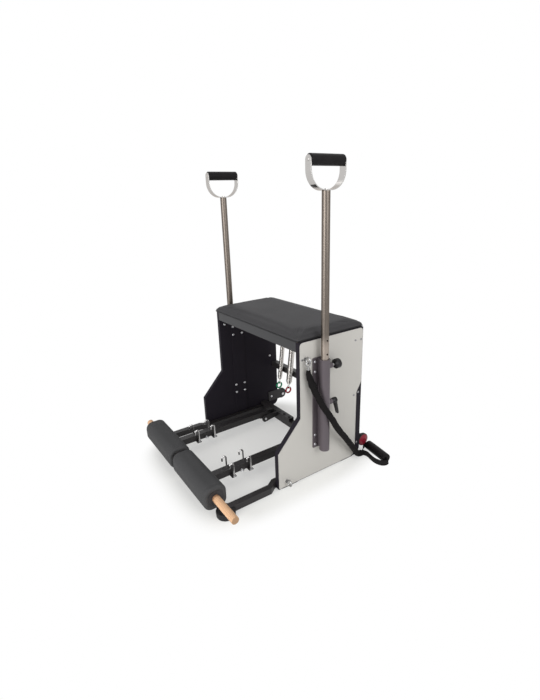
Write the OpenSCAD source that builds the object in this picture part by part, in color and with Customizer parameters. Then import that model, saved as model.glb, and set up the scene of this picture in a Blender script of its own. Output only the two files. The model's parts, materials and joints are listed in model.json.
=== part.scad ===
// Pilates chair with two foot pedals, lift-out handles, four hanging springs and a resistance band.
// X runs across the chair, the pedals point along -Y, Z is up and the floor is Z = 0.

/* [Stand] */
// Overall width across the outer faces of the two side panels
stand_width = 620; // [600:1:660]
// Height of the side panels at the seat
stand_height = 567; // [555:1:590]
// Depth of the side panels at the seat
top_depth = 318; // [310:1:330]
// How far the toe of the panels reaches in front of the middle of the seat
toe_reach = 265; // [255:1:275]
// Height of the straight front edge of the toe
toe_height = 156; // [140:1:175]
// Height at which the sloping toe meets the upright front edge
knee_height = 270; // [255:1:290]
// Thickness of the dark core of a side panel
core_t = 18; // [15:1:22]
// Thickness of the pale sheet on the outer face of a panel
sheet_t = 2; // [1:0.5:3]
// Border of dark core left around the pale sheet
sheet_inset = 3; // [2:0.5:5]
// Width of the dark strip left open at the lower rear edge
strip_width = 28; // [24:1:34]
// Thickness of the cross members' face that carries the seat
top_rail_t = 20; // [16:1:24]
// Height of the two rails under the seat
top_rail_h = 41; // [36:1:46]
// Side of the square cross tubes between the panels
bar_size = 30; // [28:1:32]
// Height of the underside of the cross tube behind the springs
mid_bar_z = 222; // [210:1:240]

/* [Base frame] */
// Side of the square floor rails
rail_size = 25; // [22:1:27]
// Wall of the floor rails and cross tubes
tube_wall = 2; // [1.5:0.5:3]
// Distance from the middle of the seat to the front cross tube
front_reach = 490; // [486:1:494]
// Diameter of a round rubber front foot
foot_d = 72; // [66:1:80]
// Height of a round rubber front foot
foot_h = 24; // [18:1:26]
// Thickness of the rubber pads under the panels
floor_pad_t = 2; // [1.5:0.5:3]
// Diameter of a transport wheel
wheel_d = 55; // [50:1:58]
// Width of a transport wheel
wheel_w = 18; // [16:1:18]

/* [Pedals] */
// Distance from the middle of the seat to the centre of the foot rollers
roller_reach = 519; // [514:1:524]
// Height of the centre of the foot rollers
roller_z = 78; // [78:1:84]
// Length of one foot roller
roller_len = 283; // [270:1:284]
// Gap between the two foot rollers
roller_gap = 24; // [22:1:34]
// Height and depth of a foot roller
roller_size = 88; // [84:1:94]
// Rounding of a foot roller's long edges
roller_round = 30; // [26:1:34]
// Rounding of a foot roller's ends
roller_end_round = 9; // [6:1:12]
// Width of a pedal arm
arm_w = 30; // [26:1:34]
// Height of a pedal arm
arm_h = 27; // [24:1:28]
// Diameter of a pedal's pivot pin
pivot_d = 12; // [10:1:14]
// Distance between a pair of spring hooks across the arm
hook_spread = 60; // [56:1:64]
// Height of a spring hook above its plate
hook_rise = 62; // [50:1:66]

/* [Dowel] */
// Diameter of the wooden dowel through the rollers
dowel_d = 28; // [25:1:30]
// Length of the dowel
dowel_len = 800; // [760:1:840]
// How far the middle of the dowel is pushed to the right
dowel_shift = 30; // [0:1:40]

/* [Handles] */
// Distance of a handle tube's axis from the outer face of its panel
sleeve_offset = 31; // [29:1:34]
// Distance of a handle tube's axis in front of the middle of the seat
handle_y = 67; // [60:1:74]
// Outer diameter of a handle tube
handle_d = 28; // [25:0.5:30]
// Wall of a handle tube
handle_wall = 2; // [1.5:0.5:3]
// Height of the top of a grip above the floor
grip_top = 1174; // [1150:1:1210]
// Diameter of a grip
grip_d = 36; // [32:1:38]
// Outer width of the D-shaped strap
strap_width = 146; // [140:1:156]
// Thickness of the D-shaped strap
strap_t = 3; // [2:0.5:4]
// Distance between the height holes of a handle tube
hole_pitch = 52; // [48:1:56]
// Outer diameter of a sleeve
sleeve_d = 39; // [36:1:41]
// Length of a sleeve
sleeve_len = 372; // [364:1:380]
// Width of the flange that bolts a sleeve to its panel
flange_w = 66; // [62:1:72]
// Thickness of that flange
flange_t = 5; // [4:0.5:6]

/* [Seat] */
// Thickness of the board under the cushion
board_t = 12; // [9:1:15]
// Height of the cushion's crown above the panels
cushion_h = 31; // [26:1:36]

/* [Springs] */
// Distance of an inner spring from the middle of the chair
inner_spring_x = 115; // [105:1:120]
// Distance of an outer spring from the middle of the chair
outer_spring_x = 191; // [188:1:205]
// Outer diameter of an inner, strong spring
inner_spring_d = 29; // [24:1:30]
// Outer diameter of an outer, light spring
outer_spring_d = 22; // [18:1:24]
// Wire of an inner spring
inner_wire_d = 3.2; // [2.6:0.1:3.4]
// Wire of an outer spring
outer_wire_d = 3; // [2.4:0.1:3.2]
// Outer diameter of the coloured ring at a spring's end
ring_d = 36; // [32:1:38]

/* [Hidden] */

// Fits
run_gap = 0.06;
slide_gap = 0.07;
soft_gap = 0.3;
rest_gap = 0.3;

// Stand
half_w = stand_width / 2;
core_out = half_w - sheet_t;
bay = core_out - core_t;
back = top_depth / 2;
floor_z = floor_pad_t;
corner_r = 30;
sheet_corner_r = 14;
strip_top = 337;
strip_slope = 42;
strip_y = back - strip_width;
top_rail_z = stand_height - top_rail_h;
backing_t = 3;

// Base frame
rail_out = half_w;
rail_top = floor_z + rail_size;
crank_start = toe_reach + 33;
crank_end = toe_reach + 3;
front_edge = front_reach + rail_size / 2;
floor_bar_y = 50;
rail_back = floor_bar_y + bar_size + 5;
pad_margin = 20;
rest_len = 240;

// Pivots
pivot_y = -26;
pivot_z = 36;
lug_r = 17;
ear_t = 5;
ear_gap = 0.3;
arm_x = roller_gap / 2 + roller_len / 2;
ear_in = arm_w / 2 + 2;
channel_h = 15;
channel_wall = 4;
channel_in = 45;
barrel_r = pivot_d / 2 + 5;
arm_z = pivot_z + 8;
arm_rear = pivot_y + 18;
floor_bar_top = floor_z + bar_size;

// Pedals
core_pipe_wall = 3;
dowel_r = dowel_d / 2;
dowel_gap = 0.1;
pipe_r = dowel_r + dowel_gap + core_pipe_wall;
end_disc_r = 30;
end_disc_t = 3;
plate_w = hook_spread + 4;
plate_l = 19;
plate_t = 4;
hook_y = [-384, -307];
hook_wire = 5;
crook_r = 8;
arm_eye_y = -345;
arm_eye_r = 7;
arm_eye_wire = 3;

// Handles
sleeve_x = half_w + sleeve_offset;
sleeve_y = -handle_y;
sleeve_top = 495;
sleeve_bottom = sleeve_top - sleeve_len;
sleeve_bore_r = handle_d / 2 + slide_gap;
flange_top = sleeve_top + 1;
flange_bottom = sleeve_bottom + 3;
web_w = 20;
strap_w = 28;
strap_leg = strap_width / 2 - strap_t / 2;
grip_z = grip_top - grip_d / 2;
strap_base = grip_z - 90;
strap_bend = 60;
tube_top = strap_base;
tube_bottom = 236;
plunger_z = 464;
clamp_z = 318;
boss_r = 10;
boss_reach = 34;
plunger_pin_r = 4;
tip_gap = 0.3;
knob_r = 18.5;
knob_len = 26;
clamp_screw_r = 5;
hub_r = 11;
bolt_rows = [482, 443, 181, 141];

// Eye bolts
eye_ring_r = 11;
eye_wire = 3;
eye_x = half_w + 18;
upper_eye = [-133, stand_height - 66];
lower_eye = [-227, 28];

// Screws in the panels
screw_row = stand_height - 48;
screw_step = 2;
front_screw_drop = 19;
screw_edge = 12;
screw_inset = 42;
bar_screw_z = 286;
strip_screws = [292, 59];

// Wheels
wheel_y = back + wheel_d / 2 + 2;
wheel_z = wheel_d / 2 + 24;
bracket_low = wheel_z - 20;
bracket_high = wheel_z + 33;
bracket_tail = 18;
bracket_foot = 60;
bracket_t = 5;
axle_r = 4;
wheel_in = bay + 1;

// Seat
board_inset = 4;
cushion_front = back + 6;
cushion_half = half_w - 5;
cushion_edge = 17;

// Springs
eye_wire_r = 2;
eye_r = 6.5;
spring_eye_y = back - 9;
spring_eye_z = top_rail_z - 2 - eye_wire_r - 2 * eye_r;
spring_reach = 350;
spring_drop = 47;
spring_lean = atan2(spring_drop, spring_reach);
ring_wire_r = 4;
ring_r = ring_d / 2 - ring_wire_r;
ring_depth = norm([spring_reach, spring_drop]);
loop_r = 7;
body_start = 18;
body_end = 304;
body_curls = 14;
taper_curls = 1.5;
curl_rings = 8;
wire_sides = 6;
mid_bar_gap = 0.4;
mid_bar_top = mid_bar_z + bar_size;
mid_bar_y = spring_eye_y - (spring_eye_z - mid_bar_top) * tan(spring_lean)
    + inner_spring_d / 2 / cos(spring_lean) + mid_bar_gap;

// Overall reach, which centres the model on its own outline
wheel_reach = wheel_y + wheel_d / 2;
roller_front = roller_reach + roller_size / 2;
centre_shift = [-dowel_shift, (roller_front - wheel_reach) / 2, 0];

// Resistance band, round numbers chosen by hand along its fall
band_r = 11;
band_sides = 10;
band_steps = 4;
band_route = [
    [328, -133, 465], [328, -132, 449], [328, -124, 424], [334, -116, 396],
    [346, -108, 364], [362, -98, 330], [374, -82, 298], [378, -62, 265],
    [374, -38, 228], [366, -10, 191], [356, 30, 144], [346, 68, 96],
    [338, 98, 58], [332, 119, 31], [330, 129, 20.8], [329, 140, 14.6],
    [328, 151, 12.4], [328, 159, 12.4]];
band_end = band_route[len(band_route) - 1];
band_grip_r = 15;
band_grip_z = 16;
band_far = [307, 216];
band_near = [428, 196];
web_thick = 2.4;
web_low = 1.5;
web_high = 21.5;

// Geometry helpers
function unit(v) = v / norm(v);

// Points that replace corner p between its neighbours a and b by an arc of radius r
function corner(a, p, b, r, n) =
    r <= 0 ? [p] :
    let (
        u = unit(a - p),
        v = unit(b - p),
        half = acos(u * v) / 2,
        c = p + unit(u + v) * r / sin(half),
        s = p + u * r / tan(half) - c,
        e = p + v * r / tan(half) - c,
        first = atan2(s[1], s[0]),
        turn = atan2(s[0] * e[1] - s[1] * e[0], s * e))
    [for (k = [0 : n]) c + r * [cos(first + turn * k / n), sin(first + turn * k / n)]];

// Closed outline with each corner rounded by its own radius
function rounded(p, r, n = 6) =
    let (m = len(p))
    [for (i = [0 : m - 1]) each corner(p[(i + m - 1) % m], p[i], p[(i + 1) % m], r[i], n)];

// Open path with its inner corners rounded
function bent(p, r, n = 6) =
    let (m = len(p))
    [for (i = [0 : m - 1])
        each (i == 0 || i == m - 1 ? [p[i]] : corner(p[i - 1], p[i], p[i + 1], r, n))];

function side_of(p, i) =
    let (
        m = len(p),
        a = i == 0 ? unit(p[1] - p[0]) : unit(p[i] - p[i - 1]),
        b = i == m - 1 ? a : unit(p[i + 1] - p[i]),
        t = unit(a + b))
    [-t[1], t[0]] / (t * a);

// Outline of a strip of the given thickness along an open path
function strip(p, t) = concat(
    [for (i = [0 : len(p) - 1]) p[i] + side_of(p, i) * t / 2],
    [for (i = [len(p) - 1 : -1 : 0]) p[i] - side_of(p, i) * t / 2]);

// Smooth curve through route points
function curve_at(a, b, c, d, t) = 0.5 * (
    2 * b + (c - a) * t + (2 * a - 5 * b + 4 * c - d) * t * t
    + (3 * b - a - 3 * c + d) * t * t * t);
function smooth(p, n) =
    let (m = len(p))
    concat(
        [for (i = [0 : m - 2], k = [0 : n - 1])
            curve_at(p[max(i - 1, 0)], p[i], p[i + 1], p[min(i + 2, m - 1)], k / n)],
        [p[m - 1]]);

// Direction of a path at point i
function heading(p, i) =
    unit(p[min(i + 1, len(p) - 1)] - p[max(i - 1, 0)]);

// Carries a normal along a path without twisting it
function carried(p, i, n) =
    let (t = heading(p, i))
    unit(n - t * (n * t));
function normals(p, start) =
    [for (i = 0, n = carried(p, 0, start); i < len(p);
        i = i + 1, n = i < len(p) ? carried(p, i, n) : n) n];

// Triangulated tube of radius r along the points p
module tube_along(p, r, sides, start) {
    m = len(p);
    ns = normals(p, start);
    pts = concat(
        [for (i = [0 : m - 1], k = [0 : sides - 1])
            let (
                t = heading(p, i),
                n = ns[i],
                b = cross(t, n),
                a = 360 * k / sides)
            p[i] + r * (cos(a) * n + sin(a) * b)],
        [p[0], p[m - 1]]);
    walls = [for (i = [0 : m - 2], k = [0 : sides - 1])
        let (
            a = i * sides + k,
            b = i * sides + (k + 1) % sides)
        each [[a, b + sides, b], [a, a + sides, b + sides]]];
    caps = [for (k = [0 : sides - 1])
        each [
            [m * sides, k, (k + 1) % sides],
            [m * sides + 1, (m - 1) * sides + (k + 1) % sides, (m - 1) * sides + k]]];
    polyhedron(pts, concat(walls, caps));
}

// Puts geometry drawn about the middle of the seat on the model's own origin
module place() {
    translate(centre_shift) children();
}

module mirrored() {
    mirror([1, 0, 0]) children();
}

module both() {
    children();
    mirrored() children();
}

// Extrudes an outline drawn in Y and Z from x0 to x1
module slab(x0, x1) {
    translate([x0, 0, 0]) rotate([90, 0, 90]) linear_extrude(x1 - x0) children();
}

module box(low, high) {
    translate(low) cube(high - low);
}

module rod_x(x0, x1, y, z, r) {
    translate([x0, y, z]) rotate([0, 90, 0]) cylinder(h = x1 - x0, r = r, $fn = 64);
}

module rod_y(y0, y1, x, z, r) {
    translate([x, y0, z]) rotate([-90, 0, 0]) cylinder(h = y1 - y0, r = r, $fn = 64);
}

module ring(major, wire) {
    rotate_extrude($fn = 64) translate([major, 0]) circle(r = wire, $fn = 32);
}

// Side panels
function core_outline() = rounded(
    [[-back, stand_height], [back, stand_height], [back, floor_z],
        [-toe_reach, floor_z], [-toe_reach, toe_height], [-back, knee_height]],
    [4, 3, corner_r, 4, 8, 10]);

function sheet_outline() =
    let (i = sheet_inset)
    rounded(
        [[-back + i, stand_height - i], [back - i, stand_height - i],
            [back - i, strip_top], [strip_y, strip_top - strip_slope],
            [strip_y, floor_z + i], [-toe_reach + i, floor_z + i],
            [-toe_reach + i, toe_height - i / 2], [-back + i, knee_height - i / 2]],
        [sheet_corner_r, sheet_corner_r, 12, 12, corner_r - 4, 5, 6, 8]);

module panel() {
    color([0.13, 0.13, 0.15]) slab(bay, core_out) polygon(core_outline());
}

module right_panel() {
    place() panel();
}

module left_panel() {
    place() mirrored() panel();
}

module face_sheets() {
    color([0.86, 0.85, 0.82]) place() both()
        slab(core_out, half_w) polygon(sheet_outline());
}

module backing_plates() {
    color([0.16, 0.16, 0.17]) place() both()
        box([bay - backing_t, sleeve_y - flange_w / 2, floor_z + bar_size - 4],
            [bay, sleeve_y + flange_w / 2, top_rail_z - 5]);
}

// A rail with a rounded lower edge, drawn across the whole bay
module top_rail() {
    slab(-bay, bay) polygon(rounded(
        [[0, top_rail_z], [top_rail_t, top_rail_z],
            [top_rail_t, stand_height], [0, stand_height]],
        [3, 3, 0, 0]));
}

module front_top_rail() {
    color([0.2, 0.2, 0.21]) place() translate([0, -back, 0]) top_rail();
}

module rear_top_rail() {
    color([0.2, 0.2, 0.21]) place() translate([0, back - top_rail_t, 0]) top_rail();
}

function square_outline(s, r) = rounded([[0, 0], [s, 0], [s, s], [0, s]], [r, r, r, r]);

// Square tube from -x to x with its lower front edge at y, z
module cross_tube(x, y, z) {
    translate([0, y, z]) slab(-x, x) difference() {
        polygon(square_outline(bar_size, 2.5));
        translate([tube_wall, tube_wall]) square(bar_size - 2 * tube_wall);
    }
}

module mid_cross_bar() {
    color([0.1, 0.1, 0.11]) place() cross_tube(bay, mid_bar_y, mid_bar_z);
}

module rear_floor_bar() {
    color([0.1, 0.1, 0.11]) place() cross_tube(bay - rail_size, floor_bar_y, floor_z);
}

// Plan of the right half of the floor frame, drawn in by w all round, w being the wall when hollow
function half_plan(w, y_back) = [
    [rail_out - w, -front_edge + w], [rail_out - w, -crank_start - w * 0.3],
    [bay - w, -crank_end - w * 0.3], [bay - w, y_back],
    [bay - rail_size + w, y_back], [bay - rail_size + w, -crank_end + w * 0.3],
    [rail_out - rail_size + w, -crank_start + w * 0.3],
    [rail_out - rail_size + w, -front_edge + rail_size - w]];

module frame_plan(w, y_back) {
    half = half_plan(w, y_back);
    polygon(concat(half, [for (i = [len(half) - 1 : -1 : 0]) [-half[i][0], half[i][1]]]));
}

module base_frame() {
    color([0.1, 0.1, 0.11]) place() difference() {
        translate([0, 0, floor_z]) linear_extrude(rail_size) frame_plan(0, rail_back);
        translate([0, 0, floor_z + tube_wall])
            linear_extrude(rail_size - 2 * tube_wall) frame_plan(tube_wall, rail_back + 1);
    }
}

// Round rubber foot that wraps the frame's front corner
module front_feet() {
    color([0.06, 0.06, 0.06]) place() both() difference() {
        translate([rail_out - 5, -front_reach, 0]) rotate_extrude($fn = 64)
            polygon(rounded(
                [[0, 0], [foot_d / 2 - 2, 0], [foot_d / 2, foot_h], [0, foot_h]],
                [0, 3, 5, 0]));
        translate([0, 0, floor_z]) linear_extrude(rail_size) frame_plan(0, rail_back);
    }
}

module floor_pads() {
    color([0.06, 0.06, 0.06]) place() {
        both() {
            box([bay, -toe_reach + pad_margin, 0], [core_out, -toe_reach + 90, floor_z]);
            box([bay, strip_y - 80, 0], [core_out, strip_y - 12, floor_z]);
        }
        box([-120, floor_bar_y + 3, 0], [120, floor_bar_y + bar_size - 3, floor_z]);
    }
}

// Rubber strips on the front cross tube that stop the rollers
module pedal_rests() {
    rest_top = roller_z - roller_size / 2 - rest_gap;
    color([0.06, 0.06, 0.06]) place() both()
        box([arm_x - rest_len / 2, -front_edge, rail_top],
            [arm_x + rest_len / 2, -front_edge + 12, max(rest_top, rail_top + 1)]);
}

// Pivot bearing of one pedal: a channel on the floor bar with two ears
module ear_outline() {
    difference() {
        union() {
            polygon([
                [pivot_y, pivot_z - lug_r], [floor_bar_y, floor_bar_top],
                [floor_bar_y + bar_size, floor_bar_top],
                [floor_bar_y + bar_size, floor_bar_top + channel_h],
                [floor_bar_y, floor_bar_top + channel_h + 3],
                [pivot_y, pivot_z + lug_r]]);
            translate([pivot_y, pivot_z]) circle(r = lug_r, $fn = 64);
        }
        translate([pivot_y, pivot_z]) circle(r = pivot_d / 2, $fn = 64);
    }
}

module pivot_brackets() {
    color([0.1, 0.1, 0.11]) place() both() {
        slab(channel_in, bay - backing_t - 1) translate([floor_bar_y, floor_bar_top]) difference() {
            square([bar_size, channel_h]);
            translate([channel_wall, -1])
                square([bar_size - 2 * channel_wall, channel_h + 1 - channel_wall]);
        }
        for (s = [-1, 1])
            slab(arm_x + s * (ear_in + ear_t / 2) - ear_t / 2,
                arm_x + s * (ear_in + ear_t / 2) + ear_t / 2) ear_outline();
        for (x = [channel_in + 15, channel_in + 55])
            translate([x, floor_bar_y + bar_size / 2, floor_bar_top + channel_h])
                cylinder(h = 4, r = 6.5, $fn = 6);
    }
}

module pivot_pins() {
    color([0.7, 0.7, 0.72]) place() both() {
        rod_x(arm_x - ear_in - ear_t - 3, arm_x + ear_in + ear_t, pivot_y, pivot_z, pivot_d / 2);
        rod_x(arm_x + ear_in + ear_t, arm_x + ear_in + ear_t + 4, pivot_y, pivot_z,
            pivot_d / 2 + 3);
    }
}

// Handle sleeve: flange, web, bored tube and the two bosses
module sleeve() {
    difference() {
        union() {
            slab(half_w, half_w + flange_t) polygon(rounded(
                [[sleeve_y - flange_w / 2, flange_bottom], [sleeve_y + flange_w / 2, flange_bottom],
                    [sleeve_y + flange_w / 2, flange_top], [sleeve_y - flange_w / 2, flange_top]],
                [3, 3, 3, 3]));
            box([half_w + flange_t, sleeve_y - web_w / 2, sleeve_bottom + 6],
                [sleeve_x - handle_d / 2 - 1, sleeve_y + web_w / 2, sleeve_top - 2]);
            translate([sleeve_x, sleeve_y, sleeve_bottom])
                cylinder(h = sleeve_len, r = sleeve_d / 2, $fn = 64);
            for (z = [plunger_z, clamp_z])
                rod_y(sleeve_y, sleeve_y + boss_reach, sleeve_x, z, boss_r);
        }
        translate([sleeve_x, sleeve_y, sleeve_bottom - 1])
            cylinder(h = sleeve_len + 2, r = sleeve_bore_r, $fn = 64);
        rod_y(sleeve_y, sleeve_y + boss_reach + 1, sleeve_x, plunger_z, plunger_pin_r + run_gap);
        rod_y(sleeve_y, sleeve_y + boss_reach + 1, sleeve_x, clamp_z, clamp_screw_r + run_gap);
    }
}

module right_sleeve() {
    color([0.36, 0.33, 0.36]) place() sleeve();
}

module left_sleeve() {
    color([0.36, 0.33, 0.36]) place() mirrored() sleeve();
}

// Button head with a hexagon socket, lying on a face that looks along +X
module button(x, y, z, r, h) {
    translate([x, y, z]) rotate([0, 90, 0]) difference() {
        rotate_extrude($fn = 48) polygon(rounded([[0, 0], [r, 0], [r, h], [0, h]], [0, 0, h * 0.8, 0]));
        translate([0, 0, h - 1]) cylinder(h = 2, r = r * 0.42, $fn = 6);
    }
}

module sleeve_bolts() {
    edge = (flange_w + sleeve_d) / 4 - 2;
    color([0.8, 0.8, 0.82]) place() both() for (z = bolt_rows, s = [-1, 1])
        button(half_w + flange_t, sleeve_y + s * min(edge, flange_w / 2 - 7), z, 5.5, 3);
}

module panel_screws() {
    color([0.75, 0.75, 0.76]) place() both() {
        for (p = [
            [back - screw_inset, screw_row], [back - screw_edge, screw_row - screw_step],
            [back - screw_inset, bar_screw_z], [-back + screw_edge, screw_row - front_screw_drop]])
            button(half_w, p[0], p[1], 4.5, 1.6);
        for (z = strip_screws)
            button(core_out, back - strip_width * 0.6, z, 5, 2);
    }
}

// Eye bolt with a collar, standing out of the panel
module eye_bolt(p) {
    translate([0, p[0], p[1]]) {
        rod_x(half_w, half_w + 3, 0, 0, 7);
        rod_x(half_w, eye_x - eye_ring_r + 1, 0, 0, eye_wire);
        translate([eye_x, 0, 0]) rotate([90, 0, 0]) ring(eye_ring_r, eye_wire);
    }
}

module eye_bolts() {
    color([0.8, 0.8, 0.82]) place() both() {
        eye_bolt(upper_eye);
        eye_bolt(lower_eye);
    }
}

module wheel_brackets() {
    foot = back - bracket_foot;
    tail = wheel_y + bracket_tail;
    color([0.1, 0.1, 0.11]) place() both() slab(bay - bracket_t, bay) difference() {
        polygon(rounded(
            [[foot, bracket_low], [tail, bracket_low], [tail, wheel_z + 16],
                [back + 4, bracket_high], [foot, bracket_high]],
            [4, 14, 14, 10, 4]));
        translate([wheel_y, wheel_z]) circle(r = axle_r, $fn = 64);
    }
}

module wheel_axles() {
    color([0.75, 0.75, 0.76]) place() both() {
        rod_x(bay - bracket_t, wheel_in + wheel_w - 6, wheel_y, wheel_z, axle_r);
        rod_x(bay - bracket_t - 4, bay - bracket_t, wheel_y, wheel_z, axle_r + 3);
        translate([bay, wheel_y, wheel_z]) rotate([0, 90, 0]) difference() {
            cylinder(h = wheel_in - bay - 0.1, r = axle_r + 4, $fn = 64);
            translate([0, 0, -1]) cylinder(h = 4, r = axle_r - 0.5, $fn = 64);
        }
    }
}

// Wheel with a rounded tread and a domed outer face
module wheel() {
    r = wheel_d / 2;
    color([0.55, 0.06, 0.08]) translate([wheel_in, wheel_y, wheel_z]) rotate([0, 90, 0]) difference() {
        rotate_extrude($fn = 64) polygon(rounded(
            [[0, 0], [r, 0], [r, wheel_w - 5], [r * 0.88, wheel_w - 4], [r * 0.45, wheel_w], [0, wheel_w]],
            [0, 3, 3, 3, 8, 0]));
        translate([0, 0, -1]) cylinder(h = wheel_w - 4, r = axle_r + run_gap, $fn = 64);
    }
}

module right_wheel() {
    place() wheel();
}

module left_wheel() {
    place() mirrored() wheel();
}

// Seat
module board_block(grow, low, high) {
    box([-cushion_half + board_inset - grow, -cushion_front + board_inset - grow, low],
        [cushion_half - board_inset + grow, back - board_inset + grow, high]);
}

module seat_board() {
    color([0.5, 0.4, 0.3]) place() board_block(0, stand_height, stand_height + board_t);
}

// Ring of points round the cushion, drawn in by inset at height z
function cushion_ring(inset, z) =
    let (
        hx = cushion_half - inset,
        hy = (cushion_front + back) / 2 - inset,
        cy = (back - cushion_front) / 2,
        r = max(24 - inset * 0.1, 12))
    [for (q = rounded(
        [[-hx, cy - hy], [hx, cy - hy], [hx, cy + hy], [-hx, cy + hy]], [r, r, r, r], 7))
        [q[0], q[1], z]];

module loft(rings) {
    m = len(rings);
    n = len(rings[0]);
    pts = concat([for (q = rings) each q],
        [[0, (back - cushion_front) / 2, rings[0][0][2]],
            [0, (back - cushion_front) / 2, rings[m - 1][0][2] + 0.3]]);
    walls = [for (i = [0 : m - 2], k = [0 : n - 1])
        let (
            a = i * n + k,
            b = i * n + (k + 1) % n)
        each [[a, b + n, b], [a, a + n, b + n]]];
    caps = [for (k = [0 : n - 1])
        each [
            [m * n, k, (k + 1) % n],
            [m * n + 1, (m - 1) * n + (k + 1) % n, (m - 1) * n + k]]];
    polyhedron(pts, concat(walls, caps));
}

module seat_cushion() {
    low = stand_height + soft_gap;
    high = stand_height + cushion_h;
    edge = stand_height + cushion_edge;
    color([0.17, 0.17, 0.18]) place() difference() {
        loft([
            cushion_ring(2.5, low), cushion_ring(0.8, low + 4), cushion_ring(0, low + 10),
            cushion_ring(0.4, edge), cushion_ring(3, edge + (high - edge) * 0.42),
            cushion_ring(11, edge + (high - edge) * 0.66), cushion_ring(32, edge + (high - edge) * 0.85),
            cushion_ring(80, edge + (high - edge) * 0.96), cushion_ring(130, high)]);
        board_block(soft_gap, low - 2, stand_height + board_t + soft_gap);
    }
}

// Screw eye under the rear rail for each spring
module spring_eyes() {
    color([0.75, 0.75, 0.76]) place() both() for (x = [inner_spring_x, outer_spring_x])
        translate([x, spring_eye_y, 0]) {
            translate([0, 0, top_rail_z - 2]) cylinder(h = 2, r = 5, $fn = 48);
            translate([0, 0, spring_eye_z + eye_r]) rotate([90, 0, 0]) ring(eye_r, eye_wire_r);
            translate([0, 0, spring_eye_z + 2 * eye_r]) cylinder(h = eye_wire_r + 1, r = eye_wire_r, $fn = 48);
        }
}

// Pedal arm: square tube, hinge barrel, core pipe of the roller and the two hook plates
module arm() {
    difference() {
        union() {
            box([arm_x - arm_w / 2, -roller_reach, arm_z],
                [arm_x + arm_w / 2, arm_rear, arm_z + arm_h]);
            rod_x(arm_x - ear_in + ear_gap, arm_x + ear_in - ear_gap, pivot_y, pivot_z, barrel_r);
            rod_x(roller_gap / 2 + end_disc_t, roller_gap / 2 + roller_len - end_disc_t,
                -roller_reach, roller_z, pipe_r);
            for (y = hook_y)
                box([arm_x - plate_w / 2, y - plate_l / 2, arm_z - plate_t],
                    [arm_x + plate_w / 2, y + plate_l / 2, arm_z]);
        }
        box([arm_x - arm_w / 2 + tube_wall, -roller_reach + pipe_r + 4, arm_z + tube_wall],
            [arm_x + arm_w / 2 - tube_wall, arm_rear + 1, arm_z + arm_h - tube_wall]);
        rod_x(0, 2 * arm_x, -roller_reach, roller_z, dowel_r + dowel_gap);
        rod_x(0, 2 * arm_x, pivot_y, pivot_z, pivot_d / 2 + run_gap);
    }
}

module right_arm() {
    color([0.1, 0.1, 0.11]) place() arm();
}

module left_arm() {
    color([0.1, 0.1, 0.11]) place() mirrored() arm();
}

// Roller: four rounded edge bars and two blocks between their centres
module pad_shape() {
    e = roller_end_round;
    q = roller_size / 2 - roller_round;
    for (sy = [-1, 1], sz = [-1, 1])
        translate([roller_gap / 2, sy * q, sz * q]) rotate([0, 90, 0]) rotate_extrude($fn = 64)
            polygon(rounded(
                [[0, 0], [roller_round, 0], [roller_round, roller_len], [0, roller_len]],
                [0, e, e, 0]));
    translate([roller_gap / 2 + roller_len / 2, 0, 0]) {
        rotate([90, 0, 0]) translate([0, 0, -q]) linear_extrude(2 * q) pad_section(roller_size);
        translate([0, 0, -q]) linear_extrude(2 * q) pad_section(roller_size);
    }
}

module pad_section(h) {
    e = roller_end_round;
    polygon(rounded(
        [[-roller_len / 2, -h / 2], [roller_len / 2, -h / 2],
            [roller_len / 2, h / 2], [-roller_len / 2, h / 2]],
        [e, e, e, e]));
}

module pad() {
    difference() {
        translate([0, -roller_reach, roller_z]) pad_shape();
        rod_x(0, 2 * arm_x, -roller_reach, roller_z, pipe_r + soft_gap);
        rod_x(roller_gap / 2 - 1, roller_gap / 2 + end_disc_t, -roller_reach, roller_z,
            end_disc_r + soft_gap);
        rod_x(roller_gap / 2 + roller_len - end_disc_t, 2 * arm_x + 1, -roller_reach, roller_z,
            end_disc_r + soft_gap);
        box([arm_x - arm_w / 2 - soft_gap, -roller_reach, arm_z - soft_gap],
            [arm_x + arm_w / 2 + soft_gap, -roller_reach + roller_size, arm_z + arm_h + soft_gap]);
    }
}

module right_pad() {
    color([0.2, 0.2, 0.2]) place() pad();
}

module left_pad() {
    color([0.2, 0.2, 0.2]) place() mirrored() pad();
}

// Discs that close a roller, each with a screw beside the dowel's hole
module pad_ends() {
    for (x = [roller_gap / 2, roller_gap / 2 + roller_len - end_disc_t])
        difference() {
            rod_x(x, x + end_disc_t, -roller_reach, roller_z, end_disc_r);
            rod_x(x - 1, x + end_disc_t + 1, -roller_reach, roller_z, dowel_r + dowel_gap);
        }
    button(roller_gap / 2 + roller_len, -roller_reach - 16, roller_z - 16, 3.5, 1.5);
}

module right_pad_ends() {
    color([0.14, 0.14, 0.14]) place() pad_ends();
}

module left_pad_ends() {
    color([0.14, 0.14, 0.14]) place() mirrored() pad_ends();
}

// Open cane-shaped hook, its crook bent to the front
module hook(x, y) {
    r = hook_wire / 2;
    translate([x, y, arm_z]) {
        cylinder(h = hook_rise - crook_r - r, r = r, $fn = 32);
        cylinder(h = 3, r = r + 2.5, $fn = 6);
        translate([0, -crook_r, hook_rise - crook_r - r]) rotate([90, 0, 90])
            rotate_extrude(angle = 180, $fn = 48) translate([crook_r, 0]) circle(r = r, $fn = 32);
        translate([0, -2 * crook_r, hook_rise - crook_r - r - 9]) cylinder(h = 9, r = r, $fn = 32);
        translate([0, -2 * crook_r, hook_rise - crook_r - r - 9]) sphere(r = r, $fn = 32);
    }
}

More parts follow.
